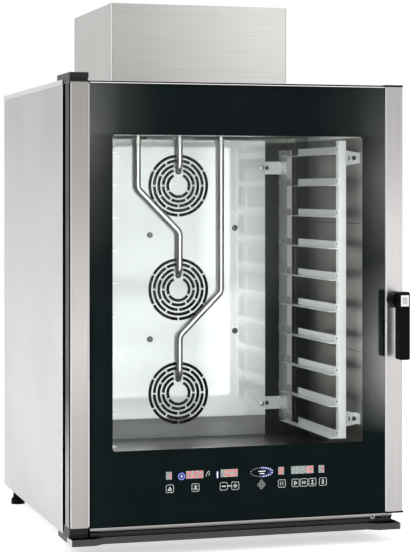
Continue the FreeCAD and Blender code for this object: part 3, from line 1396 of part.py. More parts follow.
def write_door():
    """Everything that swings with the door."""
    spindle_hole = rod(BUSH_RADIUS, spindle_at(0), spindle_at(DOOR_DEPTH))
    save("door_profile_left", [door_profile(-HALF, [])])
    save("door_profile_right", [door_profile(HALF - PROFILE_WIDTH, [spindle_hole])])
    save("door_rails", [door_rail(DOOR_LOW, DOOR_LOW + DOOR_RAIL_HEIGHT),
                        door_rail(DOOR_TOP - DOOR_RAIL_HEIGHT, DOOR_TOP)])
    save("outer_glass", [outer_glass()])
    save("glass_border", [glass_border()])
    save("display_modules", display_boxes(GLASS_BACK, GLASS_BACK + DISPLAY_DEPTH))
    save("control_board", [control_board()])
    save("inner_panel", [inner_panel()])
    save("inner_glass", [inner_glass()])
    save("drip_gutter", [drip_gutter()])
    save("door_caps", door_caps())
    save("door_hinge_blocks", [hinge_block(BASE + HINGE_PLATE_LOW + HINGE_PLAY, DOOR_LOW),
                               hinge_block(DOOR_TOP, ROOF - HINGE_PLAY)])
    save("spindle_bush", [spindle_bush()])


def write_handle():
    """The lever, its cap and the latch."""
    save("handle_lever", [handle_lever()])
    save("handle_cap", [handle_cap()])
    save("latch_spindle", [latch_spindle()])


def write_fans():
    """The three fan wheels on their shafts."""
    for name, z in zip(("bottom", "middle", "top"), FAN_Z):
        save("fan_wheel_" + name, [fan_wheel(z)])


os.makedirs("parts", exist_ok=True)
write_cabinet()
write_inside()
write_door()
write_handle()
write_fans()
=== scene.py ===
# %% [markdown]
# A counter-top gas convection oven, dressed around its packed construction. The construction gives every
# sheet, profile and pane at its real place, so this file adds what a solid model lacks: the finish of each
# surface, and small things such as screws, louvre hoods, threads, lit digits and printed signs.

# %% Load the construction
import bpy
import bmesh
import json
import math
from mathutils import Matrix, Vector

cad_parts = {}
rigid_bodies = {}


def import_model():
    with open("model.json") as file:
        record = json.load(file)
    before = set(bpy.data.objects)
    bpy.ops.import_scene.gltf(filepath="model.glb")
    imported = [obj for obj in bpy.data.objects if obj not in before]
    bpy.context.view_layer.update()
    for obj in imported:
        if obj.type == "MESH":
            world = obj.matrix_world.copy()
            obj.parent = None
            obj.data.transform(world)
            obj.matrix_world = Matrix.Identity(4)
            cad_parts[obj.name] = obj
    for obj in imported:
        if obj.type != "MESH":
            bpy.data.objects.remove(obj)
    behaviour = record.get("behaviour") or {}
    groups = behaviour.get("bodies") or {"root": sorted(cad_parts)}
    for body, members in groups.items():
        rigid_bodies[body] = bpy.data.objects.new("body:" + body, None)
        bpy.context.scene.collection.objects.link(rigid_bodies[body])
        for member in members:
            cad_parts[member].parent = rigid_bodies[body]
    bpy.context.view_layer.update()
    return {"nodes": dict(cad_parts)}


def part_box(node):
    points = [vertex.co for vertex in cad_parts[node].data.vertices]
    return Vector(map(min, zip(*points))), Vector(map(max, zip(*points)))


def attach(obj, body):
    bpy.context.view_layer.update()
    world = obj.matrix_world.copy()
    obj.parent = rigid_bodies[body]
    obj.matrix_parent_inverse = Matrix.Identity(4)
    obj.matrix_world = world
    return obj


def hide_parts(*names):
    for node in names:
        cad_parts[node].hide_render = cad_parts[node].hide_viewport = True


for leftover in list(bpy.data.objects):
    bpy.data.objects.remove(leftover)
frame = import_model()
nodes = frame["nodes"]

# %% [markdown]
# Pieces are placed from the construction's own planes. Naming a few of them once keeps the later cells
# short: the door's front, the upper edge of its glass, the rear sheet, and the box of the cooking chamber.

# %% Planes that many cells share
MM = 0.001
door_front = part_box("door_profile_left")[0].y
glass_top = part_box("outer_glass")[1].z / MM
liner_low, liner_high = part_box("cooking_chamber")
print("door front", round(door_front, 4), "m, top of the glass", round(glass_top, 1), "mm")

# %% [markdown]
# Blender keeps data and objects apart: a lamp or a mesh is data, and an object puts it into the scene.
# Finishes are trees of nodes joined by links. Four short helpers do this daily work, so that the cells
# below only say what is special about each piece.

# %% Helpers for objects, nodes and finishes
def put(name, data):
    """An object that shows some data in the scene."""
    thing = bpy.data.objects.new(name, data)
    bpy.context.scene.collection.objects.link(thing)
    return thing


def add_node(tree, kind, sockets=None, **settings):
    """A node with its settings and the values of its sockets."""
    node = tree.nodes.new(kind)
    for label, value in settings.items():
        setattr(node, label, value)
    for label, value in (sockets or {}).items():
        node.inputs[label].default_value = value
    return node


def wire(tree, *joins):
    """Links, each from an output to an input."""
    for output, socket in joins:
        tree.links.new(output, socket)


def new_finish(name, **sockets):
    """A material with a Principled shader whose constant sockets are set."""
    material = bpy.data.materials.new(name)
    material.use_nodes = True
    shader = material.node_tree.nodes["Principled BSDF"]
    for label, value in sockets.items():
        shader.inputs[label.replace("_", " ")].default_value = value
    return material, material.node_tree, shader


print("helpers ready")

# %% [markdown]
# The view is a long lens from the left of the door, level with its upper half. The lens is shifted down
# instead of being tilted, so that upright edges stay upright, as product photographers do it.

# %% Camera
PHOTO_LENS = 119.18
CAMERA_PLACE = (-1.1924, -4.0946, 0.767)
CAMERA_TURN = math.radians(-16.47)
SHIFT_ACROSS = 0.00915
SHIFT_DOWN = -0.1487
camera_data = bpy.data.cameras.new("studio_camera")
camera_data.lens = PHOTO_LENS
camera_data.shift_x = SHIFT_ACROSS
camera_data.shift_y = SHIFT_DOWN
camera = put("studio_camera", camera_data)
camera.location = CAMERA_PLACE
camera.rotation_euler = (math.pi / 2, 0, CAMERA_TURN)
bpy.context.scene.camera = camera
bpy.context.scene.view_settings.view_transform = "Standard"
print("camera at", CAMERA_PLACE)

# %% [markdown]
# A white studio could be a white room full of lamps, but that would wash every colour out. Here the world
# is white only where the eye, a reflection or a pane looks at it, and gives a softer light to the surfaces.

# %% World
WHITE = (1, 1, 1, 1)
SEEN_LIGHT, SURFACE_LIGHT = 1.0, 0.62


def looked_at(tree):
    """One for what the eye, a reflection or a pane looks at, and nought for the light on surfaces."""
    ray = add_node(tree, "ShaderNodeLightPath").outputs
    shiny = add_node(tree, "ShaderNodeMath", operation="MAXIMUM")
    seen = add_node(tree, "ShaderNodeMath", operation="MAXIMUM")
    wire(tree, (ray["Is Glossy Ray"], shiny.inputs[0]), (ray["Is Transmission Ray"], shiny.inputs[1]),
         (ray["Is Camera Ray"], seen.inputs[0]), (shiny.outputs[0], seen.inputs[1]))
    return seen.outputs[0]


world = bpy.data.worlds.new("white_studio")
bpy.context.scene.world = world
world.use_nodes = True
sky = world.node_tree
sky.nodes.clear()
soft_sky = add_node(sky, "ShaderNodeBackground", {"Color": WHITE, "Strength": SURFACE_LIGHT})
seen_sky = add_node(sky, "ShaderNodeBackground", {"Color": WHITE, "Strength": SEEN_LIGHT})
choose_sky = add_node(sky, "ShaderNodeMixShader")
sky_out = add_node(sky, "ShaderNodeOutputWorld")
wire(sky, (looked_at(sky), choose_sky.inputs["Fac"]), (soft_sky.outputs[0], choose_sky.inputs[1]),
     (seen_sky.outputs[0], choose_sky.inputs[2]), (choose_sky.outputs[0], sky_out.inputs["Surface"]))
print("world ready, surface light", SURFACE_LIGHT)

# %% [markdown]
# Three soft lamps shape the oven: a key from the upper left, a wide fill from the front and a rim from the
# right. They are hidden from the eye and from reflections, so that they never show as hard spots in steel.

# %% Lamps
def soft_lamp(name, place, turn, width, height, power, in_steel=False):
    """A flat lamp that the eye doesn't see, and that polished steel shows only if it may."""
    data = bpy.data.lights.new(name, "AREA")
    data.shape = "RECTANGLE"
    data.size = width
    data.size_y = height
    data.energy = power
    lamp = put(name, data)
    lamp.location = place
    lamp.rotation_euler = turn
    lamp.visible_camera = False
    lamp.visible_glossy = in_steel


LAMP_AIM = Vector((0, 0, 0.55))
STUDIO_LAMPS = [
    ("key_lamp", (-3.2, -2.2, 2.6), 2.2, 62),
    ("fill_lamp", (0.8, -4.4, 1.6), 2.6, 42),
    ("rim_lamp", (3.2, 1.6, 2.2), 2.0, 30)]
for name, place, size, power in STUDIO_LAMPS:
    turn = (LAMP_AIM - Vector(place)).to_track_quat("-Z", "Y").to_euler()
    soft_lamp(name, place, turn, size, size, power)
print("lamps:", len(STUDIO_LAMPS))

# %% [markdown]
# The cooking chamber is a box with one window, so it would be gloomy. A flat light just inside its mouth
# stands for the bright room that an open door lets in, and the polished steel inside shows it as white.

# %% Light in the chamber's mouth
MOUTH_GLOW, MOUTH_INSET = 0.5, 2 * MM
mouth = liner_high - liner_low
mouth_power = MOUTH_GLOW * math.pi * mouth.x * mouth.z
mouth_place = (0, liner_low.y + MOUTH_INSET, (liner_low.z + liner_high.z) / 2)
soft_lamp("mouth_light", mouth_place, (math.pi / 2, 0, 0), mouth.x, mouth.z, mouth_power, in_steel=True)
print("mouth light", round(mouth_power, 2), "W")

# %% [markdown]
# The floor is a large pale sheet. For the eye it glows a little, so that it melts into the white
# background, and the oven's own soft shadow still darkens it.

# %% Floor
FLOOR_REACH = 9.0
FLOOR_GLOW = 0.55
floor_corners = [(x * FLOOR_REACH, y * FLOOR_REACH, 0) for x, y in ((-1, -1), (1, -1), (1, 1), (-1, 1))]
floor_mesh = bpy.data.meshes.new("studio_floor")
floor_mesh.from_pydata(floor_corners, [], [(0, 1, 2, 3)])
studio_floor = put("studio_floor", floor_mesh)
floor_paint, floor_tree, floor_shader = new_finish(
    "studio_floor_paint", Base_Color=(0.9, 0.9, 0.9, 1), Roughness=0.9, Specular_IOR_Level=0.0,
    Emission_Color=WHITE)
floor_glow = add_node(floor_tree, "ShaderNodeMath", {1: FLOOR_GLOW}, operation="MULTIPLY")
wire(floor_tree, (looked_at(floor_tree), floor_glow.inputs[0]),
     (floor_glow.outputs[0], floor_shader.inputs["Emission Strength"]))
floor_mesh.materials.append(floor_paint)
print("floor", FLOOR_REACH * 2, "m across")

# %% [markdown]
# Effects that several finishes share are node groups, built once, so that a change of the grain reaches
# every sheet. Each group starts with named inputs and ends with named masks.

# %% Start and end of an effect
def effect_group(name, inputs, outputs):
    """An empty shader group with named sockets, and its two end nodes."""
    group = bpy.data.node_groups.new(name, "ShaderNodeTree")
    for label, kind, value in inputs:
        socket = group.interface.new_socket(label, in_out="INPUT", socket_type=kind)
        socket.default_value = value
    for label in outputs:
        group.interface.new_socket(label, in_out="OUTPUT", socket_type="NodeSocketFloat")
    return group, group.nodes.new("NodeGroupInput").outputs, group.nodes.new("NodeGroupOutput").inputs


def noise_node(tree, detail, roughness=0.5):
    """A noise texture whose scale is set by a link or left at one."""
    return add_node(tree, "ShaderNodeTexNoise", {"Scale": 1.0, "Detail": detail, "Roughness": roughness})


print("effects can be built")

# %% [markdown]
# The first effect is the grain of rolled and brushed sheet. A picture of scratches would blur close up, so
# the grain is noise drawn out along one direction, with a slow cloud over it for handling and cleaning.

# %% Grain of brushed sheet
def build_grain():
    """Drawn-out noise for brushed sheet, and a slow cloud."""
    group, start, end = effect_group(
        "brushed_grain",
        [("Stretch", "NodeSocketVector", (400, 400, 6)), ("Cloud Scale", "NodeSocketFloat", 3.0)],
        ["Streak", "Cloud"])
    place = add_node(group, "ShaderNodeTexCoord").outputs["Object"]
    stretch = add_node(group, "ShaderNodeMapping")
    streak, cloud = noise_node(group, 3.0, 0.6), noise_node(group, 2.0)
    wire(group, (place, stretch.inputs["Vector"]), (start["Stretch"], stretch.inputs["Scale"]),
         (stretch.outputs[0], streak.inputs["Vector"]), (place, cloud.inputs["Vector"]),
         (start["Cloud Scale"], cloud.inputs["Scale"]),
         (streak.outputs["Fac"], end["Streak"]), (cloud.outputs["Fac"], end["Cloud"]))
    return group


grain_group = build_grain()
print("effect:", grain_group.name)

# %% [markdown]
# The second effect is the fine skin of moulded plastic and of powder coat. One noise gives its pebbles, and
# a larger one is a mask of the places that hands have rubbed.

# %% Skin of mouldings
def build_skin():
    """Fine pebbles and larger rubbed places."""
    group, start, end = effect_group(
        "moulded_skin",
        [("Pebble Scale", "NodeSocketFloat", 900.0), ("Rub Scale", "NodeSocketFloat", 14.0)],
        ["Pebble", "Rubbed"])
    place = add_node(group, "ShaderNodeTexCoord").outputs["Object"]
    pebble, rub = noise_node(group, 2.0), noise_node(group, 4.0, 0.65)
    for noise, scale, result in ((pebble, "Pebble Scale", "Pebble"), (rub, "Rub Scale", "Rubbed")):
        wire(group, (place, noise.inputs["Vector"]), (start[scale], noise.inputs["Scale"]),
             (noise.outputs["Fac"], end[result]))
    return group


skin_group = build_skin()
print("effect:", skin_group.name)

# %% [markdown]
# Each finish is a material of its own, made by a short function. The functions here do the wiring that many
# finishes have in common: a colour between two tones, a range of values and a shallow relief.

# %% Wiring that finishes share
RELIEF = 0.2 * MM


def place_group(tree, group, **values):
    """The outputs of a shared effect with its own values."""
    sockets = {label.replace("_", " "): value for label, value in values.items()}
    return add_node(tree, "ShaderNodeGroup", sockets, node_tree=group).outputs


def mixed(tree, share, first, second, blend="MIX"):
    """A colour made of two, each a plain tone or an output, by a plain share or a mask."""
    clamped = blend == "MULTIPLY"
    mix = add_node(tree, "ShaderNodeMix", data_type="RGBA", blend_type=blend, clamp_result=clamped)
    for spot, value in ((0, share), (6, first), (7, second)):
        if isinstance(value, bpy.types.NodeSocket):
            wire(tree, (value, mix.inputs[spot]))
        else:
            mix.inputs[spot].default_value = (*value, 1) if isinstance(value, tuple) else value
    return mix.outputs[2]


def value_range(tree, mask, low, high, start=0.3, end=0.7):
    """A number that runs between two values as a mask goes over its usual span."""
    span = add_node(tree, "ShaderNodeMapRange", {
        "From Min": start, "From Max": end, "To Min": low, "To Max": high})
    wire(tree, (mask, span.inputs["Value"]))
    return span.outputs[0]


def add_bump(tree, shader, height, strength):
    """A shallow relief under the shader."""
    bump = add_node(tree, "ShaderNodeBump", {"Strength": strength, "Distance": RELIEF})
    wire(tree, (height, bump.inputs["Height"]), (bump.outputs[0], shader.inputs["Normal"]))


def scaled(colour, factor):
    """A tone of a colour."""
    return tuple(min(1.0, channel * factor) for channel in colour)


print("wiring ready")

# %% [markdown]
# Steel sheet and mouldings are the two families of finish on the oven. Sheet has streaks and clouds of
# handling, and mouldings have pebbles and paler places where hands rub them. Painted pictures could show
# both, but noise keeps its scale on every piece and needs no unwrapping.

# %% Two families of finish
ALONG_X, ALONG_Y, ALONG_Z = (5, 420, 420), (420, 5, 420), (420, 420, 5)
SHEET_SMOOTH, SHEET_ROUGH = 0.85, 1.2
SKIN_SMOOTH, SKIN_ROUGH = 0.85, 1.1


def sheet_steel(name, colour, rough, stretch, streak=0.06, bump=0.05, metallic=1.0):
    """Brushed sheet: streaks along one direction, and clouds of handling."""
    material, tree, shader = new_finish(name, Metallic=metallic)
    grain = place_group(tree, grain_group, Stretch=stretch)
    streaks = value_range(tree, grain["Streak"], 0.0, 1.0)
    tone = mixed(tree, streaks, scaled(colour, 1 - streak), scaled(colour, 1 + streak))
    handled = value_range(tree, grain["Cloud"], rough * SHEET_SMOOTH, rough * SHEET_ROUGH)
    wire(tree, (tone, shader.inputs["Base Color"]), (handled, shader.inputs["Roughness"]))
    add_bump(tree, shader, grain["Streak"], bump)
    return material


def moulded(name, colour, rough, pebble=900.0, bump=0.12, metallic=0.0, rub=0.18, gloss=0.5):
    """Moulded plastic, powder coat or rubber: a fine skin with rubbed, slightly paler places."""
    material, tree, shader = new_finish(name, Metallic=metallic, Specular_IOR_Level=gloss)
    skin = place_group(tree, skin_group, Pebble_Scale=pebble)
    tone = mixed(tree, value_range(tree, skin["Rubbed"], 0.0, 1.0), colour, scaled(colour, 1 + rub))
    handled = value_range(tree, skin["Rubbed"], rough * SKIN_ROUGH, rough * SKIN_SMOOTH)
    wire(tree, (tone, shader.inputs["Base Color"]), (handled, shader.inputs["Roughness"]))
    add_bump(tree, shader, skin["Pebble"], bump)
    return material


print("families ready")

# %% [markdown]
# In a studio, steel is darker where it shows the dark parts of the room. Modelling that room would take
# many tries, so a finish gets soft bands of tone along one direction of the oven instead: painted light,
# shade and reflection.

# %% Bands of tone
def coordinates(tree):
    """A piece's own places in metres, as outputs named X, Y and Z."""
    split = add_node(tree, "ShaderNodeSeparateXYZ")
    wire(tree, (add_node(tree, "ShaderNodeTexCoord").outputs["Object"], split.inputs[0]))
    return split.outputs


def band_ramp(tree, value, bands):
    """A tone that follows a value through soft bands, given as spots and tones."""
    low, high = bands[0][0], bands[-1][0]
    ramp = add_node(tree, "ShaderNodeValToRGB")
    stops = ramp.color_ramp.elements
    while len(stops) < len(bands):
        stops.new(1.0)
    for stop, (spot, tone) in zip(stops, bands):
        stop.position = (spot - low) / (high - low)
        stop.color = (*tone, 1) if isinstance(tone, tuple) else (tone, tone, tone, 1)
    wire(tree, (value_range(tree, value, 0.0, 1.0, low, high), ramp.inputs[0]))
    return ramp.outputs[0]


def toned(material, axis, bands):
    """Multiply a finish's colour by painted bands of light and shade along one direction, given as places in
    metres and factors.
    """
    tree = material.node_tree
    colour = tree.nodes["Principled BSDF"].inputs["Base Color"]
    tones = band_ramp(tree, coordinates(tree)[axis], bands)
    wire(tree, (mixed(tree, 1.0, colour.links[0].from_socket, tones, "MULTIPLY"), colour))
    return material


print("bands ready")

# %% [markdown]
# The cabinet is bent from brushed stainless sheet. The side sheets have their grain along the depth, the flue
# box and the roof have it across, and the door's profiles upright. Bands of tone paint light and shade on
# them: the side sheets paler near their middle, where they would catch more light, the flue box darker on its
# left, the profiles in bands of height, and the gutter pale along its top edge and near black below it.

# %% Stainless sheet and profiles
panel_steel = sheet_steel("side_panel_steel", (0.62, 0.62, 0.615), 0.36, ALONG_Y, streak=0.03, bump=0.03)
# painted reflection: the side sheets are darker low and high and palest near their middle
toned(panel_steel, "Z", [(0.10, 0.82), (0.28, 0.95), (0.49, 1.0), (0.70, 0.92), (0.92, 0.75)])
roof_steel = sheet_steel("roof_steel", (0.66, 0.66, 0.65), 0.34, ALONG_X)
chimney_steel = sheet_steel("chimney_steel", (0.74, 0.735, 0.71), 0.33, ALONG_X)
# painted shade: the flue box is darker on its left and palest on its right
toned(chimney_steel, "X", [(-0.21, 0.65), (-0.14, 0.68), (0.13, 0.97), (0.21, 1.0)])
frame_steel = sheet_steel("face_frame_steel", (0.42, 0.42, 0.41), 0.34, ALONG_X)
hinge_profile = sheet_steel("profile_steel", (0.56, 0.54, 0.52), 0.30, ALONG_Z, streak=0.05, bump=0.08)
# painted reflection: the hinge profile's tone rises and falls in bands of height
toned(hinge_profile, "Z", [(0.12, 0.66), (0.29, 0.77), (0.46, 1.0), (0.63, 0.89), (0.80, 0.70), (0.95, 0.63)])
latch_profile = sheet_steel("latch_profile_steel", (0.67, 0.65, 0.64), 0.30, ALONG_Z, streak=0.05, bump=0.08)
# painted reflection: the latch profile's tone rises and falls in bands of height
toned(latch_profile, "Z", [
    (0.09, 0.68), (0.22, 0.76), (0.36, 0.79), (0.60, 1.0), (0.69, 1.0), (0.82, 0.80), (0.95, 0.69)])
gutter_steel = sheet_steel("gutter_steel", (0.42, 0.415, 0.40), 0.26, ALONG_X)
# painted highlight and shade: the gutter is pale along its upper edge and near black below it
toned(gutter_steel, "Z", [
    (0.046, 0.05), (0.054, 0.07), (0.057, 0.16), (0.060, 0.45), (0.0625, 0.8), (0.065, 1.0)])
inner_steel = sheet_steel("inner_door_steel", (0.55, 0.55, 0.54), 0.28, ALONG_X)
zinc_steel = sheet_steel("galvanised_steel", (0.44, 0.46, 0.47), 0.42, (60, 60, 60), streak=0.10)
print("sheet finishes ready")

# %% [markdown]
# Inside, the liner's tone changes with the depth of the chamber, and these bands are painted light and
# shade: a front tone at the mouth, a paler wall tone further in, a painted dark band beside the baffle where
# the wall turns into the rear corner, a paler rear wall, and a top painted far paler. The racks and water
# tubes stay bright.

# %% Liner, racks and tubes
FRONT_TONE, WALL_TONE = (0.20, 0.185, 0.172), (0.26, 0.24, 0.225)
# painted shade: a dark tone beside the baffle and at the very back, and a paler rear wall
CORNER_SHADE_TONE, BACK_TONE = (0.052, 0.062, 0.055), (0.13, 0.12, 0.11)
LINER_TONES = [
    (0.0, FRONT_TONE), (0.25, FRONT_TONE), (0.40, WALL_TONE), (0.66, WALL_TONE), (0.73, CORNER_SHADE_TONE),
    (0.875, CORNER_SHADE_TONE), (0.885, BACK_TONE), (0.985, BACK_TONE), (0.99, CORNER_SHADE_TONE), (1.0, CORNER_SHADE_TONE)]
liner_depth = liner_high.y - liner_low.y
liner_steel = sheet_steel("liner_painted_shade", (1, 1, 1), 0.34, ALONG_Y, streak=0.08)
toned(liner_steel, "Y", [(liner_low.y + share * liner_depth, tone) for share, tone in LINER_TONES])
# painted highlight: the top of the chamber, above 0.897 m, is made seven times paler
toned(liner_steel, "Z", [(0.15, 1.0), (0.893, 1.0), (0.897, 7.0), (0.92, 7.0)])
rack_steel = sheet_steel("rack_steel", (0.66, 0.66, 0.655), 0.36, ALONG_Y, streak=0.03, metallic=0.5)
# painted light and shade: the racks are paler at their front posts and rear, and darker along the rails
toned(rack_steel, "Y", [(-0.3, 1.1), (-0.23, 1.1), (-0.22, 0.84), (0.10, 0.84), (0.12, 1.15), (0.2, 1.15)])
tube_steel = sheet_steel("tube_steel", (0.62, 0.61, 0.59), 0.14, ALONG_Z, streak=0.03, bump=0.02)
# painted shade: the fan wheels are near black so that the baffle's slots look dark, and the same dark steel
# gives the liner's seams
fan_steel = sheet_steel("fan_shade_and_seam_steel", (0.035, 0.033, 0.03), 0.5, (30, 30, 30), streak=0.2)
bolt_steel = sheet_steel("dark_bolt_steel", (0.10, 0.095, 0.09), 0.3, (200, 200, 200), streak=0.1)
print("chamber sheet ready, depth", round(liner_depth, 4))

# %% [markdown]
# The fan baffle is polished sheet: it scatters most of the light and mirrors the rest, so that the racks
# show in it. One roughness can't do both, so a share of mirror is mixed over the dull finish. Its tone is
# painted in bands, a painted reflection: darker on the left, paler to the right, dark along its foot and
# brightest just above it.

# %% Polished baffle
MIRROR_SHARE, MIRROR_ROUGH = 0.3, 0.05
baffle_steel = sheet_steel(
    "polished_baffle_steel", (0.95, 0.95, 0.95), 0.55, ALONG_Z, streak=0.015, bump=0.01)
# painted reflection: the baffle is darker on its left and paler towards its right
toned(baffle_steel, "X", [
    (-0.30, 0.56), (-0.10, 0.56), (0.04, 0.50), (0.10, 0.75), (0.13, 0.86), (0.17, 1.0), (0.3, 1.0)])
# painted reflection: dark along the foot, brightest just above it and fading upwards
toned(baffle_steel, "Z", [
    (0.18, 0.43), (0.228, 0.43), (0.230, 1.8), (0.27, 1.5), (0.31, 1.3), (0.50, 1.22), (0.57, 0.88),
    (0.90, 0.85)])


def add_mirror(material, share, rough):
    """A share of mirror over a finish, in the same colour."""
    tree = material.node_tree
    dull = tree.nodes["Principled BSDF"]
    mirror = add_node(tree, "ShaderNodeBsdfPrincipled", {"Metallic": 1.0, "Roughness": rough})
    both = add_node(tree, "ShaderNodeMixShader", {"Fac": share})
    wire(tree, (dull.inputs["Base Color"].links[0].from_socket, mirror.inputs["Base Color"]),
         (dull.outputs[0], both.inputs[1]), (mirror.outputs[0], both.inputs[2]),
         (both.outputs[0], tree.nodes["Material Output"].inputs["Surface"]))


add_mirror(baffle_steel, MIRROR_SHARE, MIRROR_ROUGH)
print("baffle mirrors", MIRROR_SHARE)

# %% [markdown]
# The burner and the heat exchanger have been red hot, and such stainless keeps straw, brown and blue
# clouds. Two noises of the grain give them: a fine one between straw and brown, and a slow one that lays
# blue over both.

# %% Heat-tinted steel
BROWN, STRAW, BLUE = (0.30, 0.22, 0.14), (0.46, 0.40, 0.33), (0.20, 0.23, 0.30)
burner_steel, burner_tree, burner_shader = new_finish("heat_tinted_steel", Metallic=1.0)
burner_grain = place_group(burner_tree, grain_group, Stretch=(9, 9, 9), Cloud_Scale=11.0)
burner_tone = mixed(burner_tree, value_range(burner_tree, burner_grain["Cloud"], 0.0, 0.7, 0.45, 0.7),
                    mixed(burner_tree, burner_grain["Streak"], BROWN, STRAW), BLUE)
wire(burner_tree, (burner_tone, burner_shader.inputs["Base Color"]),
     (value_range(burner_tree, burner_grain["Cloud"], 0.28, 0.45), burner_shader.inputs["Roughness"]))
print("burner finish ready")

# %% [markdown]
# The panes are clear toughened glass. Light from a lamp has to reach the chamber through two of them, so
# each pane lets shadow rays pass straight through. The gloss of such coated oven glass is low and a little
# soft, so it comes from the coat of the shader, and the glass under it only lets light through.

# %% Glass and enamel
CLEAR_INDEX, COAT_INDEX, COAT_ROUGH, COAT_SHARE = 1.0, 3.3, 0.1, 0.010


def oven_glass(name, tint):
    """Clear glass that lamps shine through."""
    material, tree, shader = new_finish(
        name, Base_Color=(*tint, 1), Transmission_Weight=1.0, Roughness=0.0, IOR=CLEAR_INDEX,
        Coat_IOR=COAT_INDEX, Coat_Roughness=COAT_ROUGH, Coat_Weight=COAT_SHARE)
    ray = add_node(tree, "ShaderNodeLightPath")
    through = add_node(tree, "ShaderNodeBsdfTransparent", {"Color": (*tint, 1)})
    choose = add_node(tree, "ShaderNodeMixShader")
    wire(tree, (ray.outputs["Is Shadow Ray"], choose.inputs["Fac"]), (shader.outputs[0], choose.inputs[1]),
         (through.outputs[0], choose.inputs[2]),
         (choose.outputs[0], tree.nodes["Material Output"].inputs["Surface"]))
    return material


front_glass = oven_glass("front_pane_glass", (0.96, 0.985, 0.98))
chamber_glass = oven_glass("chamber_pane_glass", (0.97, 0.985, 0.98))
border_enamel = moulded(
    "black_border_enamel", (0.0085, 0.0135, 0.0145), 0.25, pebble=300.0, bump=0.02, rub=0.35, gloss=0.05)
# painted reflection: the enamel is painted paler in its lower half, across the top above the window and
# towards its left edge, where the pane shows the bright room
toned(border_enamel, "Z", [(0.07, 2.4), (0.50, 2.3), (0.56, 1.4), (0.885, 1.0), (0.895, 1.65), (1.0, 1.7)])
toned(border_enamel, "X", [(-0.335, 1.5), (-0.29, 1.15), (-0.262, 1.0), (0.335, 1.0)])
print("glass ready")

# %% [markdown]
# A pane shows the bright room near its upright edges and above the window. Each sheen has the place across
# where it starts, the place where it is full, and its strength by height. The first one is the even gloss
# of the upper half, and the lower half, with the controls, is left plain so that the digits stay easy to
# read.

# %% Sheens of the front pane
EVERYWHERE = (-1.0, -0.9)
SHEENS = [
    (EVERYWHERE, [(0.50, 0.0), (0.56, COAT_SHARE), (1.0, COAT_SHARE)]),
    ((-0.262, -0.335), [(0.50, 0.0), (0.63, 0.025), (0.80, 0.17), (0.89, 0.34), (0.93, 0.27), (1.0, 0.22)]),
    ((0.262, 0.335), [
        (0.24, 0.0), (0.36, 0.57), (0.43, 0.85), (0.50, 0.5), (0.62, 0.10), (0.72, 0.30), (0.80, 0.42),
        (0.90, 0.18), (1.0, 0.08)]),
    ((-0.185, -0.275), [(0.893, 0.0), (0.897, 0.09), (1.0, 0.09)]),
    ((0.16, 0.275), [(0.893, 0.0), (0.897, 0.05), (1.0, 0.035)])]
pane = front_glass.node_tree
pane_place = coordinates(pane)
pane_coat = None
for (start, full), bands in SHEENS:
    sheen = add_node(pane, "ShaderNodeMath", {2: 0.0}, operation="MULTIPLY_ADD")
    wire(pane, (band_ramp(pane, pane_place["Z"], bands), sheen.inputs[0]),
         (value_range(pane, pane_place["X"], 0.0, 1.0, start, full), sheen.inputs[1]))
    if pane_coat:
        wire(pane, (pane_coat, sheen.inputs[2]))
    pane_coat = sheen.outputs[0]
wire(pane, (pane_coat, pane.nodes["Principled BSDF"].inputs["Coat Weight"]))
print("sheens:", len(SHEENS))

# %% [markdown]
# Plastics, rubber, coats and castings share the moulded skin with their own colour and scale of pebble.

# %% Plastics, rubber and castings
hinge_coat = moulded("black_hinge_coat", (0.012, 0.012, 0.012), 0.42, pebble=500.0, gloss=0.2)
black_plastic = moulded("black_moulding", (0.003, 0.003, 0.003), 0.34, pebble=700.0, bump=0.06, gloss=0.05)
tray_plastic = moulded("grey_tray_moulding", (0.048, 0.048, 0.052), 0.45, pebble=500.0, gloss=0.3)
cap_plastic = moulded("pale_cap_moulding", (0.86, 0.86, 0.85), 0.3, bump=0.05, rub=0.05)
end_cap_plastic = moulded("pale_end_cap", (0.66, 0.66, 0.65), 0.35, bump=0.05, rub=0.1)
seal_rubber = moulded("black_seal_rubber", (0.016, 0.016, 0.016), 0.55, pebble=1200.0)
cast_metal = moulded("cast_aluminium", (0.45, 0.46, 0.47), 0.48, pebble=260.0, bump=0.35, metallic=1.0)
wool_felt = moulded("mineral_wool", (0.42, 0.33, 0.15), 0.95, pebble=160.0, bump=0.8)
board_green = moulded("circuit_board", (0.012, 0.085, 0.03), 0.4, pebble=90.0, bump=0.2, rub=0.5)
brass = sheet_steel("turned_brass", (0.60, 0.42, 0.16), 0.25, (300, 300, 300), streak=0.05)
ceramic = moulded("white_ceramic", (0.78, 0.76, 0.70), 0.3, pebble=200.0, bump=0.05, rub=0.05)
display_face = moulded("display_face", (0.30, 0.30, 0.31), 0.25, pebble=400.0, bump=0.02)
print("moulded finishes ready")

# %% [markdown]
# The construction comes without finishes. A list of nodes for each finish is easy to check by eye, and the
# last line tells which nodes it has missed.

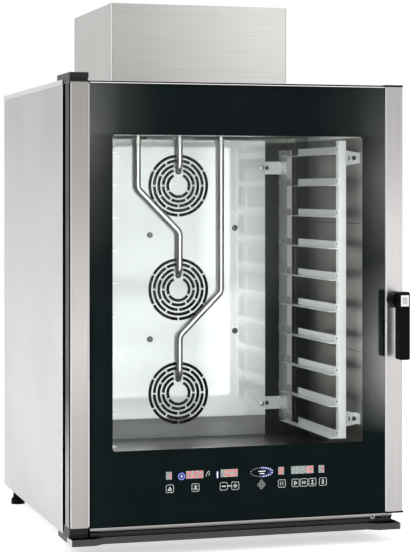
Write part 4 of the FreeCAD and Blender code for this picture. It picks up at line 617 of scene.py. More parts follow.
# %% Every node of the construction gets its finish
FINISH_OF_NODES = {
    panel_steel: ["left_side_panel", "right_side_panel"],
    roof_steel: ["top_cover"],
    chimney_steel: ["chimney_shell", "chimney_lid"],
    frame_steel: ["front_frame"],
    hinge_profile: ["door_profile_left"],
    latch_profile: ["door_profile_right"],
    gutter_steel: ["drip_gutter"],
    inner_steel: ["inner_panel"],
    zinc_steel: ["base_pan", "rear_panel", "motor_plate", "door_rails", "flue_duct"],
    liner_steel: ["cooking_chamber"],
    baffle_steel: ["fan_baffle"],
    rack_steel: ["left_rack_posts", "right_rack_posts", "left_tray_rails", "right_tray_rails"],
    tube_steel: ["water_tube_left", "water_tube_centre", "water_tube_right", "water_manifold",
                 "drain_strainer", "drain_pipe", "latch_spindle", "spindle_bush"],
    burner_steel: ["heat_exchanger", "burner_tube"],
    fan_steel: ["fan_wheel_bottom", "fan_wheel_middle", "fan_wheel_top"],
    bolt_steel: ["baffle_bolts"],
    front_glass: ["outer_glass"],
    chamber_glass: ["inner_glass"],
    border_enamel: ["glass_border"],
    hinge_coat: ["top_hinge_plate", "lower_hinge_plate", "door_hinge_blocks"],
    black_plastic: ["feet", "handle_lever", "cable_gland", "door_caps"],
    tray_plastic: ["drip_tray"],
    cap_plastic: ["handle_cap"],
    end_cap_plastic: ["drip_tray_caps"],
    seal_rubber: ["door_seal", "shaft_seals"],
    cast_metal: ["fan_motors", "premix_blower", "gas_valve"],
    wool_felt: ["insulation_wrap"],
    board_green: ["control_board", "power_board"],
    brass: ["water_solenoid", "gas_inlet_pipe"],
    ceramic: ["igniter"],
    display_face: ["display_modules"],
}
dressed = set()
for finish, names in FINISH_OF_NODES.items():
    for name in names:
        nodes[name].data.materials.clear()
        nodes[name].data.materials.append(finish)
        dressed.add(name)
print("dressed", len(dressed), "of", len(nodes), "nodes; left bare:", sorted(set(nodes) - dressed))

# %% [markdown]
# From here on, pieces are added to the construction. Their places are in millimetres from the middle of the
# cabinet, the front plane of the door and the worktop, as on a fitter's drawing. Most small pieces lie in
# the door's plane, so their outlines are drawn upright.

# %% Places and outlines
def from_door(x, y, z):
    """A place in millimetres from the cabinet's middle, the door's front and the worktop."""
    return Vector((x * MM, door_front + y * MM, z * MM))


def box_from_door(name):
    """The two corners of a node's box on the fitter's drawing."""
    return [(corner - Vector((0, door_front, 0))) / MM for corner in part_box(name)]


def circle_loop(x, z, radius, steps=24):
    """Points round a circle in an upright plane."""
    turns = [2 * math.pi * i / steps for i in range(steps)]
    return [(x + radius * math.cos(turn), z + radius * math.sin(turn)) for turn in turns]


def rounded_loop(x, z, half_width, half_height, radius, steps=4):
    """Points round a rectangle with round corners."""
    points = []
    for quarter, (side, end) in enumerate(((1, 1), (-1, 1), (-1, -1), (1, -1))):
        for i in range(steps + 1):
            turn = math.pi / 2 * (quarter + i / steps)
            points.append((x + side * (half_width - radius) + radius * math.cos(turn),
                           z + end * (half_height - radius) + radius * math.sin(turn)))
    return points


print("outlines ready")

# %% [markdown]
# An outline becomes a closed solid between two depths. A bevelled curve could do that too, but building the
# faces here keeps every solid closed, and each piece below is only a list of outlines.

# %% Small solids
def add_between(shape, near, far):
    """A solid between two outlines of as many points."""
    near, far = [[shape.verts.new(point) for point in outline] for outline in (near, far)]
    shape.faces.new(near)
    shape.faces.new(far[::-1])
    for i in range(len(near)):
        j = (i + 1) % len(near)
        shape.faces.new((near[j], near[i], far[i], far[j]))


def add_prism(shape, outline, front, back):
    """A solid with one upright outline between two depths."""
    add_between(shape, *[[from_door(x, y, z) for x, z in outline] for y in (front, back)])


def add_ring(shape, outer, inner, front, back):
    """A solid between an outer and an inner outline of as many points."""
    loops = [[shape.verts.new(from_door(x, y, z)) for x, z in outline]
             for outline, y in ((outer, front), (inner, front), (inner, back), (outer, back))]
    for a, b in zip(loops, loops[1:] + loops[:1]):
        for i in range(len(outer)):
            j = (i + 1) % len(outer)
            shape.faces.new((a[i], a[j], b[j], b[i]))


def add_bar(shape, start, end, width, front, back):
    """A straight stroke of one width."""
    along = (Vector(end) - Vector(start)).normalized() * width / 2
    across = Vector((-along.y, along.x))
    corners = [Vector(start) - across, Vector(end) - across, Vector(end) + across, Vector(start) + across]
    add_prism(shape, [tuple(corner) for corner in corners], front, back)


print("helpers for small solids ready")

# %% [markdown]
# A finished shape becomes a plain mesh with its faces outwards.

# %% Showing a piece
def keep(shape, mesh):
    """Turn a shape's faces outwards and keep it in a mesh."""
    bmesh.ops.recalc_face_normals(shape, faces=shape.faces)
    shape.to_mesh(mesh)
    shape.free()
    return mesh


def show(name, mesh, finish, body, slot, *replaced):
    """Give a mesh its finish and the body that it rides on; the slot is not used."""
    mesh.materials.clear()
    mesh.materials.append(finish)
    piece = put(name, mesh)
    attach(piece, body)
    if replaced:
        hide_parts(*replaced)


def finished(name, shape, finish, body, slot, *replaced):
    """Close a shape and show it as a piece of the oven."""
    show(name, keep(shape, bpy.data.meshes.new(name)), finish, body, slot, *replaced)


print("pieces can be shown")

# %% [markdown]
# Displays and lamps shine by themselves, and a diffuser makes their light a little uneven. The same noise
# as on mouldings, only finer, wanders between a darker and a lighter tone of their colour.

# %% Light of the displays
LIT_DARK, LIT_BASE, LIT_BASE_PALE = 0.88, 0.2, 0.26


def lit_finish(name, colour, glow):
    """A surface that shines by itself, a little uneven as a diffuser is."""
    material, tree, shader = new_finish(name, Roughness=0.4, Emission_Strength=glow)
    skin = place_group(tree, skin_group, Pebble_Scale=600.0, Rub_Scale=120.0)
    uneven = value_range(tree, skin["Rubbed"], 0.0, 1.0)
    shine = mixed(tree, uneven, scaled(colour, LIT_DARK), colour)
    cover = mixed(tree, uneven, scaled(colour, LIT_BASE), scaled(colour, LIT_BASE_PALE))
    wire(tree, (shine, shader.inputs["Emission Color"]), (cover, shader.inputs["Base Color"]))
    return material


window_glow = lit_finish("display_window", (0.38, 0.42, 0.41), 0.75)
idle_glow = lit_finish("idle_segment", (0.20, 0.24, 0.22), 0.75)
digit_glow = lit_finish("red_digit", (0.85, 0.045, 0.065), 1.0)
blue_glow = lit_finish("blue_indicator", (0.30, 0.40, 0.95), 1.0)
halo_glow = lit_finish("blue_halo", (0.0, 0.002, 0.16), 0.9)
lamp_glow = lit_finish("white_lamp", (0.92, 0.92, 0.80), 1.0)
dim_glow = lit_finish("dim_lamp", (0.42, 0.43, 0.42), 0.8)
print("display light ready")

# %% [markdown]
# Behind the lower glass sit six display windows. They could be pictures on a plane, but then they would be
# flat from the side, so each window is a thin pale block and each segment of a digit, lit or idle, a solid
# of its own, slanted a little as on real seven-segment displays.

# %% Digits
DIGIT_PITCH, DIGIT_WIDTH, DIGIT_HEIGHT = 12.8, 7.0, 12.6
SEGMENT, SEGMENT_GAP, SLANT = 2.5, 0.5, 0.1
WINDOW_RISE, WINDOW_ROUND, DISPLAY_Z = 16.5, 0.8, 168.0
DIGIT_FRONT, IDLE_FRONT, WINDOW_FRONT, WINDOW_BACK = 6.55, 6.65, 6.8, 9.0
SEGMENT_PLACES = {
    "a": (0, 1, False), "b": (1, 0.5, True), "c": (1, -0.5, True), "d": (0, -1, False),
    "e": (-1, -0.5, True), "f": (-1, 0.5, True), "g": (0, 0, False)}
SEGMENTS_OF = {"0": "abcdef", "1": "bc", "2": "abged", " ": ""}
WINDOWS = [(-165.0, "1"), (-120.5, "020"), (-43.5, "100"), (87.0, "2"), (116.5, "  10"), (179.5, "1")]


def segment_outline(x, z, upright):
    """A bar with pointed ends, slanted with its digit."""
    half = (DIGIT_HEIGHT / 2 if upright else DIGIT_WIDTH) / 2 - SEGMENT_GAP
    flat, rise = half - SEGMENT / 2, SEGMENT / 2
    bar = [(-half, 0), (-flat, -rise), (flat, -rise), (half, 0), (flat, rise), (-flat, rise)]
    if upright:
        bar = [(-b, a) for a, b in bar]
    return [(x + a + (z + b - DISPLAY_Z) * SLANT, z + b) for a, b in bar]


windows, digits, idle = bmesh.new(), bmesh.new(), bmesh.new()
for left, figures in WINDOWS:
    half = DIGIT_PITCH * len(figures) / 2
    window = rounded_loop(left + half, DISPLAY_Z, half, WINDOW_RISE / 2, WINDOW_ROUND, 3)
    add_prism(windows, window, WINDOW_FRONT, WINDOW_BACK)
    for i, figure in enumerate(figures):
        for letter, (side, level, upright) in SEGMENT_PLACES.items():
            lit = letter in SEGMENTS_OF[figure]
            x = left + DIGIT_PITCH * (i + 0.5) + side * DIGIT_WIDTH / 2
            outline = segment_outline(x, DISPLAY_Z + level * DIGIT_HEIGHT / 2, upright)
            add_prism(digits if lit else idle, outline, DIGIT_FRONT if lit else IDLE_FRONT, WINDOW_FRONT)
finished("display_windows", windows, window_glow, "door", "display_face", "display_modules")
finished("display_digits", digits, digit_glow, "door", "display_face")
finished("display_idle_segments", idle, idle_glow, "door", "display_face")
print("display windows:", len(WINDOWS))

# %% [markdown]
# The touch keys are printed on the rear of the glass in pale ink. A picture on the pane would look flat
# from the side, so each sign is a thin solid of ink just inside the pane, made of frames, strokes and dots.

# %% Ink of the keys
KEY_Z, KEY_HALF, KEY_ROUND, INK_LINE = 140.2, 8.6, 3.0, 0.9
INK_FRONT, INK_BACK = 6.3, 6.48
print_ink = moulded("pale_print", (0.40, 0.41, 0.41), 0.5, pebble=500.0, bump=0.02)
ink = bmesh.new()


def key_frame(x):
    """The round-cornered frame of one key."""
    inner = KEY_HALF - INK_LINE
    add_ring(ink, rounded_loop(x, KEY_Z, KEY_HALF, KEY_HALF, KEY_ROUND),
             rounded_loop(x, KEY_Z, inner, inner, KEY_ROUND - INK_LINE), INK_FRONT, INK_BACK)


def strokes(x, width, *paths):
    """Strokes of a sign, each along points given from the key's middle."""
    for path in paths:
        for (x0, z0), (x1, z1) in zip(path, path[1:]):
            add_bar(ink, (x + x0, KEY_Z + z0), (x + x1, KEY_Z + z1), width, INK_FRONT, INK_BACK)


def dot(x, rise, radius):
    """A round dot of a sign."""
    add_prism(ink, circle_loop(x, KEY_Z + rise, radius, 16), INK_FRONT, INK_BACK)


print("ink ready")

# %% [markdown]
# Ten keys stand in a row. Each has a round-cornered frame with a plain drawing in it, of the kind that any
# oven uses. Only the key for the fans has no frame: it is two diamonds, one inside the other.

# %% Signs of the keys
KEYS = {"cover": -156.5, "portion": -99.6, "less": -36.6, "more": -10.9, "air": 48.3, "steam": 94.9,
        "run": 126.4, "forward": 145.5, "probe": 165.1, "rack": 189.4}
MARK_X = -71.5
for sign, x in KEYS.items():
    if sign != "air":
        key_frame(x)
LEVEL = [(-4.2, 0), (4.2, 0)]
strokes(KEYS["cover"], 2.0, [(-4.5, -3.5), (4.5, -3.5)], [(-3.2, -2.5), (0, 3.6)], [(3.2, -2.5), (0, 3.6)])
strokes(KEYS["portion"], 2.0, [(-3.2, 3), (3.2, 3)], [(-4.4, -3.4), (4.4, -3.4)])
dot(KEYS["portion"], -1.6, 2.4)
strokes(KEYS["less"], 2.6, LEVEL)
strokes(KEYS["more"], 2.6, LEVEL, [(0, -4.2), (0, 4.2)])
strokes((KEYS["less"] + KEYS["more"]) / 2, 2.4, [(-3.6, 0), (3.6, 0)])
for half, rise, width in ((8.8, 10.2, 0.7), (4.2, 5.0, 1.0)):
    strokes(KEYS["air"], width, [(half, 0), (0, rise), (-half, 0), (0, -rise), (half, 0)])
strokes(KEYS["steam"], 1.3, [(-2.6, 4), (-3.4, 0), (-2.2, -4)], [(2.6, 4), (1.8, 0), (3, -4)])
strokes(KEYS["run"], 1.8, [(-2.6, 4), (3.4, 0), (-2.6, -4), (-2.6, 4)])
strokes(KEYS["forward"], 1.6, [(-4, 3), (-0.8, 0), (-4, -3)], [(0.8, 3), (4, 0), (0.8, -3)])
dot(KEYS["probe"], 3.2, 2.1)
strokes(KEYS["probe"], 1.8, [(0, 2), (0, -1.6)], [(-4, -3.8), (4, -3.8)])
strokes(KEYS["rack"], 1.5, *[[(-2.4, z), (2.4, z)] for z in (-4.2, -1.4, 1.4, 4.2)], [(0, -5), (0, 5)])
strokes(MARK_X, 0.9, [(-5, 23), (-1.5, 32.5), (3.5, 33), (1, 24)])
finished("printed_keys", ink, print_ink, "door", "pale_plastic")
print("keys:", len(KEYS))

# %% [markdown]
# Screws, rivets, lamps and louvres are the same small piece many times over. Copying meshes in a loop would
# do, but a node tree is clearer, and its named inputs show what can change. Every tree here starts with
# such inputs, and ends by making its copies real and painting them.

# %% Start and end of a node tree
def named_tree(name, inputs):
    """An empty geometry tree with named inputs and one output, and the sockets of its start."""
    tree = bpy.data.node_groups.new(name, "GeometryNodeTree")
    for label, kind in inputs:
        tree.interface.new_socket(label, in_out="INPUT", socket_type="NodeSocket" + kind)
    tree.interface.new_socket("Result", in_out="OUTPUT", socket_type="NodeSocketGeometry")
    return tree, add_node(tree, "NodeGroupInput").outputs


def close_tree(tree, made, finish):
    """End a tree in real geometry with its finish."""
    real = add_node(tree, "GeometryNodeRealizeInstances")
    paint = add_node(tree, "GeometryNodeSetMaterial")
    end = add_node(tree, "NodeGroupOutput")
    wire(tree, (made, real.inputs["Geometry"]), (real.outputs["Geometry"], paint.inputs["Geometry"]),
         (finish, paint.inputs["Material"]), (paint.outputs["Geometry"], end.inputs["Result"]))
    return tree


print("trees can be built")

# %% [markdown]
# The first tree repeats a piece. Points say where, and a direction on each point says which way the piece
# faces, so that one tree serves the screws of the rear sheet as well as the rivets of a rack.

# %% Tree that repeats a piece
def build_repeat():
    """One copy of a piece on every point, turned to the point's own direction."""
    tree, start = named_tree("repeat_on_points", [
        ("Points", "Geometry"), ("Piece", "Object"), ("Size", "Float"), ("Finish", "Material")])
    piece = add_node(tree, "GeometryNodeObjectInfo")
    facing = add_node(tree, "GeometryNodeInputNamedAttribute", {"Name": "facing"}, data_type="FLOAT_VECTOR")
    turn = add_node(tree, "FunctionNodeAlignRotationToVector", axis="Z")
    spread = add_node(tree, "GeometryNodeInstanceOnPoints")
    wire(tree, (start["Piece"], piece.inputs["Object"]), (facing.outputs[0], turn.inputs["Vector"]),
         (start["Points"], spread.inputs["Points"]), (piece.outputs["Geometry"], spread.inputs["Instance"]),
         (turn.outputs[0], spread.inputs["Rotation"]), (start["Size"], spread.inputs["Scale"]))
    return close_tree(tree, spread.outputs["Instances"], start["Finish"])


repeat_nodes = build_repeat()
print("tree:", repeat_nodes.name)

# %% [markdown]
# The second tree is for welds, the lip of the seal and bright corners. It turns a path into a curve and
# sweeps a small circle along it.

# %% Tree that lays a bead
BEAD_SIDES = 8


def build_bead():
    """A round bead along the edges of a mesh."""
    tree, start = named_tree("bead_on_path", [
        ("Path", "Geometry"), ("Bead Radius", "Float"), ("Finish", "Material")])
    curve = add_node(tree, "GeometryNodeMeshToCurve")
    ring = add_node(tree, "GeometryNodeCurvePrimitiveCircle", {"Resolution": BEAD_SIDES})
    sweep = add_node(tree, "GeometryNodeCurveToMesh", {"Fill Caps": True})
    wire(tree, (start["Path"], curve.inputs["Mesh"]), (start["Bead Radius"], ring.inputs["Radius"]),
         (curve.outputs["Curve"], sweep.inputs["Curve"]),
         (ring.outputs["Curve"], sweep.inputs["Profile Curve"]))
    return close_tree(tree, sweep.outputs["Mesh"], start["Finish"])


bead_nodes = build_bead()
print("tree:", bead_nodes.name)

# %% [markdown]
# A tree could stay on its piece as a live modifier, but the oven is kept as plain meshes. So each tree
# runs once on a carrier that is thrown away, and its evaluated result is kept.

# %% Running a tree
def grow(name, tree, source, values, finish, body, slot):
    """Run a tree once on a mesh and show the plain result, with its faces outwards."""
    carrier = put("carrier", source)
    modifier = carrier.modifiers.new("nodes", "NODES")
    modifier.node_group = tree
    sockets = {item.name: item.identifier for item in tree.interface.items_tree}
    for label, value in {**values, "Finish": finish}.items():
        modifier[sockets[label]] = value
    bpy.context.view_layer.update()
    mesh = bpy.data.meshes.new_from_object(carrier.evaluated_get(bpy.context.evaluated_depsgraph_get()))
    carrier.modifiers.clear()
    bpy.data.objects.remove(carrier)
    mesh.name = name
    shape = bmesh.new()
    shape.from_mesh(mesh)
    show(name, keep(shape, mesh), finish, body, slot)
    print(name, len(mesh.polygons), "faces")


print("trees can run")

# %% [markdown]
# Two helpers feed the trees. One writes places and directions on the points of a mesh, the other joins the
# points of each run by edges. Both take millimetres, as all places do here.

# %% Repeats and beads
TO_FRONT, TO_BACK, TO_RIGHT, TO_LEFT = (0, -1, 0), (0, 1, 0), (1, 0, 0), (-1, 0, 0)


def repeat(name, piece, size, places, finish, body, slot):
    """Set a piece on places given as a point in millimetres and a direction."""
    points = bpy.data.meshes.new(name + "_points")
    points.from_pydata([from_door(*spot) for spot, way in places], [], [])
    facing = points.attributes.new("facing", "FLOAT_VECTOR", "POINT")
    for i, (spot, way) in enumerate(places):
        facing.data[i].vector = way
    grow(name, repeat_nodes, points, {"Piece": piece, "Size": size * MM}, finish, body, slot)


def bead(name, runs, radius, finish, body, slot):
    """Lay a bead along runs of points in millimetres."""
    corners, edges = [], []
    for run in runs:
        first = len(corners)
        corners.extend(from_door(*spot) for spot in run)
        edges.extend((first + i, first + i + 1) for i in range(len(run) - 1))
    path = bpy.data.meshes.new(name + "_path")
    path.from_pydata(corners, edges, [])
    grow(name, bead_nodes, path, {"Bead Radius": radius * MM}, finish, body, slot)


print("repeat and bead ready")

# %% [markdown]
# The small pieces themselves are turned: a few points of a profile go round an axis. Their size is one, and
# the tree's Size input scales them. They only serve as patterns, so they leave the scene at the end.

# %% Patterns for the small pieces
patterns = []


def as_pattern(name, shape):
    """Keep a shape as a pattern that a tree can repeat."""
    pattern = put(name, keep(shape, bpy.data.meshes.new(name)))
    patterns.append(pattern)
    return pattern


def turned(name, profile, steps):
    """A closed pattern turned about the upright axis from radius and height pairs."""
    shape = bmesh.new()
    turns = [2 * math.pi * i / steps for i in range(steps)]
    rings = []
    for radius, height in profile:
        spots = [(radius * math.cos(turn), radius * math.sin(turn), height) for turn in turns]
        rings.append([shape.verts.new(spot) for spot in (spots if radius else spots[:1])])
    for below, above in zip(rings, rings[1:]):
        for i in range(steps):
            j = (i + 1) % steps
            spots = [(below, i), (below, j), (above, j), (above, i)]
            shape.faces.new(list(dict.fromkeys(ring[spot % len(ring)] for ring, spot in spots)))
    return as_pattern(name, shape)


rivet = turned("pattern_rivet", [
    (0, -0.3), (1, -0.3), (1, 0), (0.9, 0.2), (0.66, 0.36), (0.34, 0.45), (0, 0.48)], 12)
screw = turned("pattern_screw", [
    (0, -0.3), (1, -0.3), (1, 0.25), (0.86, 0.42), (0.46, 0.5), (0.38, 0.22), (0, 0.22)], 12)
hexagon = turned("pattern_hexagon", [(0, -0.3), (1, -0.3), (1, 0.5), (0.84, 0.62), (0, 0.62)], 6)
lamp_dot = turned("pattern_lamp", [(0, -0.02), (1, -0.02), (0.94, 0.09), (0.6, 0.12), (0, 0.13)], 10)
thread = turned("pattern_thread", [(0.9, -0.05), (1, 0), (0.9, 0.05), (0.9, -0.05)], 32)
print("patterns:", [pattern.name for pattern in patterns])

# %% [markdown]
# Beside the digits, lights tell what the oven is doing: a blue ring with a dot for the time and an upright
# bar for the heat. Each lies in the pane's printed layer, with a dim blue halo behind it.

# %% Timer and heat lights
LIGHT_FRONT, LIGHT_BACK, HALO_BACK = 6.26, 6.38, 6.46
LIGHT_Z, TIMER_X, HEAT_X = 165.5, -130.5, -50.8
TIMER_DOT, TIMER_BORE, TIMER_RIM, TIMER_HALO = 1.9, 6.2, 7.3, 8.8
BAR_HALF, BAR_RISE, BAR_ROUND = 1.3, 6.6, 0.6
BAR_HALO_HALF, BAR_HALO_RISE, BAR_HALO_ROUND = 3.2, 8.2, 1.6
lights, halos, white_lights = bmesh.new(), bmesh.new(), bmesh.new()
timer_rim, timer_bore, timer_halo = [
    circle_loop(TIMER_X, LIGHT_Z, radius, 32) for radius in (TIMER_RIM, TIMER_BORE, TIMER_HALO)]
add_ring(lights, timer_rim, timer_bore, LIGHT_FRONT, LIGHT_BACK)
add_prism(halos, timer_halo, LIGHT_BACK, HALO_BACK)
add_prism(white_lights, circle_loop(TIMER_X, LIGHT_Z, TIMER_DOT, 16), LIGHT_FRONT, LIGHT_BACK)
bar_halo = rounded_loop(HEAT_X, LIGHT_Z, BAR_HALO_HALF, BAR_HALO_RISE, BAR_HALO_ROUND, 4)
add_prism(halos, bar_halo, LIGHT_BACK, HALO_BACK)
heat_bar = rounded_loop(HEAT_X, LIGHT_Z, BAR_HALF, BAR_RISE, BAR_ROUND, 3)
add_prism(white_lights, heat_bar, LIGHT_FRONT, LIGHT_BACK)
print("lights for time and heat at", TIMER_X, HEAT_X)

# %% [markdown]
# The fans have an oval of lamps with two strokes in it. The right half is lit and has a blue halo, the left
# half is dim. Lamps at equal angles would crowd at the ends of the oval, so they are set at equal steps of
# its length.

# %% Oval of lamps for the fans
FAN_X, OVAL_Z, OVAL_HALF, OVAL_RISE = 48.8, 166.9, 24.6, 9.4
OVAL_COUNT, OVAL_STEPS, LIT_TURN = 22, 48, 0.55 * math.pi
HALO_OUT, HALO_UP, HALO_IN, HALO_DOWN = 2.6, 2.2, 8.0, 4.4
FAN_STROKES, FAN_STROKE_WIDTH = ((-7.0, 9.0, 1.8), (-4.0, 6.5, -3.0)), 1.5
LIT_LAMP, DIM_LAMP = 1.25, 1.0


def oval_arc(half, rise, start=0.0, end=2 * math.pi):
    """Points along the fans' oval between two turns."""
    turns = [start + (end - start) * i / OVAL_STEPS for i in range(OVAL_STEPS)]
    return [(FAN_X + half * math.cos(turn), OVAL_Z + rise * math.sin(turn)) for turn in turns]


halo_rim = oval_arc(OVAL_HALF + HALO_OUT, OVAL_RISE + HALO_UP, -LIT_TURN, LIT_TURN)
halo_bore = oval_arc(OVAL_HALF - HALO_IN, OVAL_RISE - HALO_DOWN, -LIT_TURN, LIT_TURN)
add_prism(halos, halo_rim + halo_bore[::-1], LIGHT_BACK, HALO_BACK)
for left, right, rise in FAN_STROKES:
    ends = [(FAN_X + x, OVAL_Z + rise) for x in (left, right)]
    add_bar(white_lights, *ends, FAN_STROKE_WIDTH, LIGHT_FRONT, LIGHT_BACK)
oval = [Vector(point) for point in oval_arc(OVAL_HALF, OVAL_RISE)]
reach = [0.0]
for here, there in zip(oval, oval[1:] + oval[:1]):
    reach.append(reach[-1] + (there - here).length)
lit_lamps, dim_lamps = [], []
for i in range(OVAL_COUNT):
    wanted = reach[-1] * (i + 0.5) / OVAL_COUNT
    after = next(k for k, length in enumerate(reach) if length >= wanted)
    share = (wanted - reach[after - 1]) / (reach[after] - reach[after - 1])
    spot = oval[after - 1].lerp(oval[after % len(oval)], share)
    (lit_lamps if spot.x > FAN_X else dim_lamps).append(((spot.x, LIGHT_BACK, spot.y), TO_FRONT))
finished("indicator_lights", lights, blue_glow, "door", "display_face")
finished("indicator_halos", halos, halo_glow, "door", "display_face")
finished("white_lights", white_lights, lamp_glow, "door", "display_face")
repeat("fan_lamps", lamp_dot, LIT_LAMP, lit_lamps, lamp_glow, "door", "display_face")
repeat("dim_fan_lamps", lamp_dot, DIM_LAMP, dim_lamps, dim_glow, "door", "display_face")

# %% [markdown]
# The racks are riveted and bolted sheet. Rivets hold the rails to the posts, a bolt with a dark nut ties
# each strap to the baffle, and a slotted tab with a screw hooks each front post to the wall.

# %% Fasteners of the racks
RAIL_FIRST, RAIL_PITCH, RAIL_COUNT = 218.5, 71.0, 10
FLANGE_X, FLANGE_RIVETS = 265.5, ((488.0, 8.5), (121.0, 10.0))
STRAP_LEVELS, STRAP_NUT_X, STRAP_Y, STRAP_BOLT_X, STRAP_BOLT_Y = (255.5, 830.5), 229.0, 511.0, 212.0, 495.0
POST_X, POST_Y, POST_RIVETS = 266.7, 505.0, (13.0, -10.5)
TAB_LEVELS, TAB_Y, TAB_NUT_X, TAB_SLOT_X = (260.0, 848.0), 121.0, 306.0, 294.5
SLOT_HALF, SLOT_RISE, SLOT_ROUND, SLOT_FRONT, SLOT_BACK = 1.6, 5.0, 1.5, -0.15, 0.2
RIVET_RADIUS, NUT_RADIUS, BOLT_RADIUS = 2.6, 5.4, 5.6
nut_steel = sheet_steel("dark_nut_steel", (0.10, 0.10, 0.10), 0.35, (200, 200, 200))
rack_rivets, rack_nuts, rack_bolts = [], [], []
tab_slots = bmesh.new()
for side, inward in ((1, TO_LEFT), (-1, TO_RIGHT)):
    for level in range(RAIL_COUNT):
        z = RAIL_FIRST + RAIL_PITCH * level
        rack_rivets += [((side * FLANGE_X, y, z + rise), inward) for y, rise in FLANGE_RIVETS]
    for z in STRAP_LEVELS:
        rack_rivets += [((side * POST_X, POST_Y, z + rise), inward) for rise in POST_RIVETS]
        rack_nuts.append(((side * STRAP_NUT_X, STRAP_Y, z), TO_FRONT))
        rack_bolts.append(((side * STRAP_BOLT_X, STRAP_BOLT_Y, z), TO_FRONT))
    for z in TAB_LEVELS:
        rack_nuts.append(((side * TAB_NUT_X, TAB_Y, z), TO_FRONT))
        slot = rounded_loop(side * TAB_SLOT_X, z, SLOT_HALF, SLOT_RISE, SLOT_ROUND, 4)
        add_prism(tab_slots, slot, TAB_Y + SLOT_FRONT, TAB_Y + SLOT_BACK)
repeat("rack_rivets", rivet, RIVET_RADIUS, rack_rivets, nut_steel, "cabinet", "rack_steel")
repeat("rack_nuts", hexagon, NUT_RADIUS, rack_nuts, nut_steel, "cabinet", "black_metal")
repeat("rack_bolts", screw, BOLT_RADIUS, rack_bolts, tube_steel, "cabinet", "rack_steel")
finished("rack_tab_slots", tab_slots, nut_steel, "cabinet", "black_metal")

# %% [markdown]
# The liner is folded from several sheets, and their welds run down the side walls and round into the floor.
# A bead along a path shows such a weld from every side, which a painted line wouldn't.

# %% Welds of the liner
WALL_X, WELD_Y, WELD_TOP, WELD_TURN, WELD_ROUND, WELD_STEPS = 315.0, 541.0, 899.0, 215.0, 30.0, 8
SEAM_LEVELS, SEAM_FRONT = (412.0, 700.0), 80.0
WELD_RADIUS, SEAM_RADIUS = 1.6, 0.8
weld_steel = sheet_steel("weld_steel", (0.22, 0.21, 0.20), 0.35, ALONG_Z)
weld_bend = [(WELD_Y, WELD_TOP)]
for i in range(WELD_STEPS + 1):
    turn = math.pi / 2 * i / WELD_STEPS
    weld_bend.append((WELD_Y + WELD_ROUND * (1 - math.cos(turn)), WELD_TURN - WELD_ROUND * math.sin(turn)))
walls = (WALL_X, -WALL_X)
welds = [[(x, y, z) for y, z in weld_bend] for x in walls]
seams = [[(x, SEAM_FRONT, z), (x, WELD_Y, z)] for x in walls for z in SEAM_LEVELS]
bead("liner_welds", welds, WELD_RADIUS, weld_steel, "cabinet", "chamber_steel")
bead("liner_seams", seams, SEAM_RADIUS, fan_steel, "cabinet", "chamber_steel")

# %% [markdown]
# The door's lever is a moulding with soft edges. The construction's lever has its size, and this one has
# its skin: the grip is a block with bevelled edges, the boss is round, and a small inlay sits in the pale
# cap.

# %% Lever
LEVER_X, LEVER_Z = 354.0, 535.0
GRIP_HALF, GRIP_LOW, GRIP_HIGH, GRIP_ROUND, GRIP_EDGE = 12.0, 406.5, 554.0, 4.0, 2.2
GRIP_FRONT, GRIP_BACK, SHARP = -60.0, -35.0, 1.2
BOSS_RADIUS, BOSS_FRONT, BOSS_BACK = 18.4, -35.5, -0.3
INLAY_HALF, INLAY_RISE, INLAY_ROUND, INLAY_FRONT, INLAY_BACK = 5.4, 7.6, 0.8, -61.75, -61.4
grip_rise = (GRIP_HIGH - GRIP_LOW) / 2
lever = bmesh.new()
add_prism(lever, rounded_loop(LEVER_X, GRIP_LOW + grip_rise, GRIP_HALF, grip_rise, GRIP_ROUND, 4),
          GRIP_FRONT, GRIP_BACK)
rims = [edge for edge in lever.edges if len(edge.link_faces) == 2 and edge.calc_face_angle() > SHARP]
bmesh.ops.bevel(lever, geom=rims, offset=GRIP_EDGE * MM, segments=3, profile=0.5, affect="EDGES")
add_prism(lever, circle_loop(LEVER_X, LEVER_Z, BOSS_RADIUS, 40), BOSS_FRONT, BOSS_BACK)
finished("door_lever", lever, black_plastic, "handle", "black_plastic", "handle_lever")
inlay = bmesh.new()
inlay_loop = rounded_loop(LEVER_X, LEVER_Z, INLAY_HALF, INLAY_RISE, INLAY_ROUND, 3)
add_prism(inlay, inlay_loop, INLAY_FRONT, INLAY_BACK)
inlay_plastic = moulded("grey_inlay", (0.50, 0.50, 0.49), 0.4, bump=0.05)
finished("cap_inlay", inlay, inlay_plastic, "handle", "grey_plastic")
print("lever from", GRIP_LOW, "to", GRIP_HIGH)

# %% [markdown]
# A worker sees the back, the flue box and the inside of the door too. Sheet screws go round the rear sheet
# and the foot of the flue box, along the door's inner sheet, and hold the gutter at its end.

# %% Sheet screws
rear_y = box_from_door("rear_panel")[1].y
panel_y = box_from_door("inner_panel")[1].y
gutter_y = box_from_door("drip_gutter")[0].y
flue_high = box_from_door("chimney_shell")[1]
REAR_X, REAR_FIRST, REAR_PITCH, REAR_COUNT = 362.0, 75.0, 182.0, 6
REAR_ROWS, REAR_MIDDLE = (54.0, 990.0), (-270.0, 0.0, 270.0)
FLUE_Z, FLUE_DEPTHS, FLUE_PLACES = 1021.0, (345.0, 534.0, 725.0), (-170.0, 0.0, 170.0)
PANEL_PLACES, PANEL_ROWS = (-300.0, -150.0, 0.0, 150.0, 300.0), (82.0, 140.0, 940.0, 990.0)
GUTTER_PLACES, GUTTER_Z = (304.0, 328.0, 337.5), 59.0
PLUG_RIM, PLUG_BORE, PLUG_FRONT, PLUG_BACK = 5.0, 3.6, -0.8, 2.0
CASE_SCREW, PANEL_SCREW, GUTTER_SCREW = 3.6, 3.2, 3.0
screw_steel = sheet_steel("screw_steel", (0.52, 0.52, 0.51), 0.28, (250, 250, 250), streak=0.08)
case_screws = []
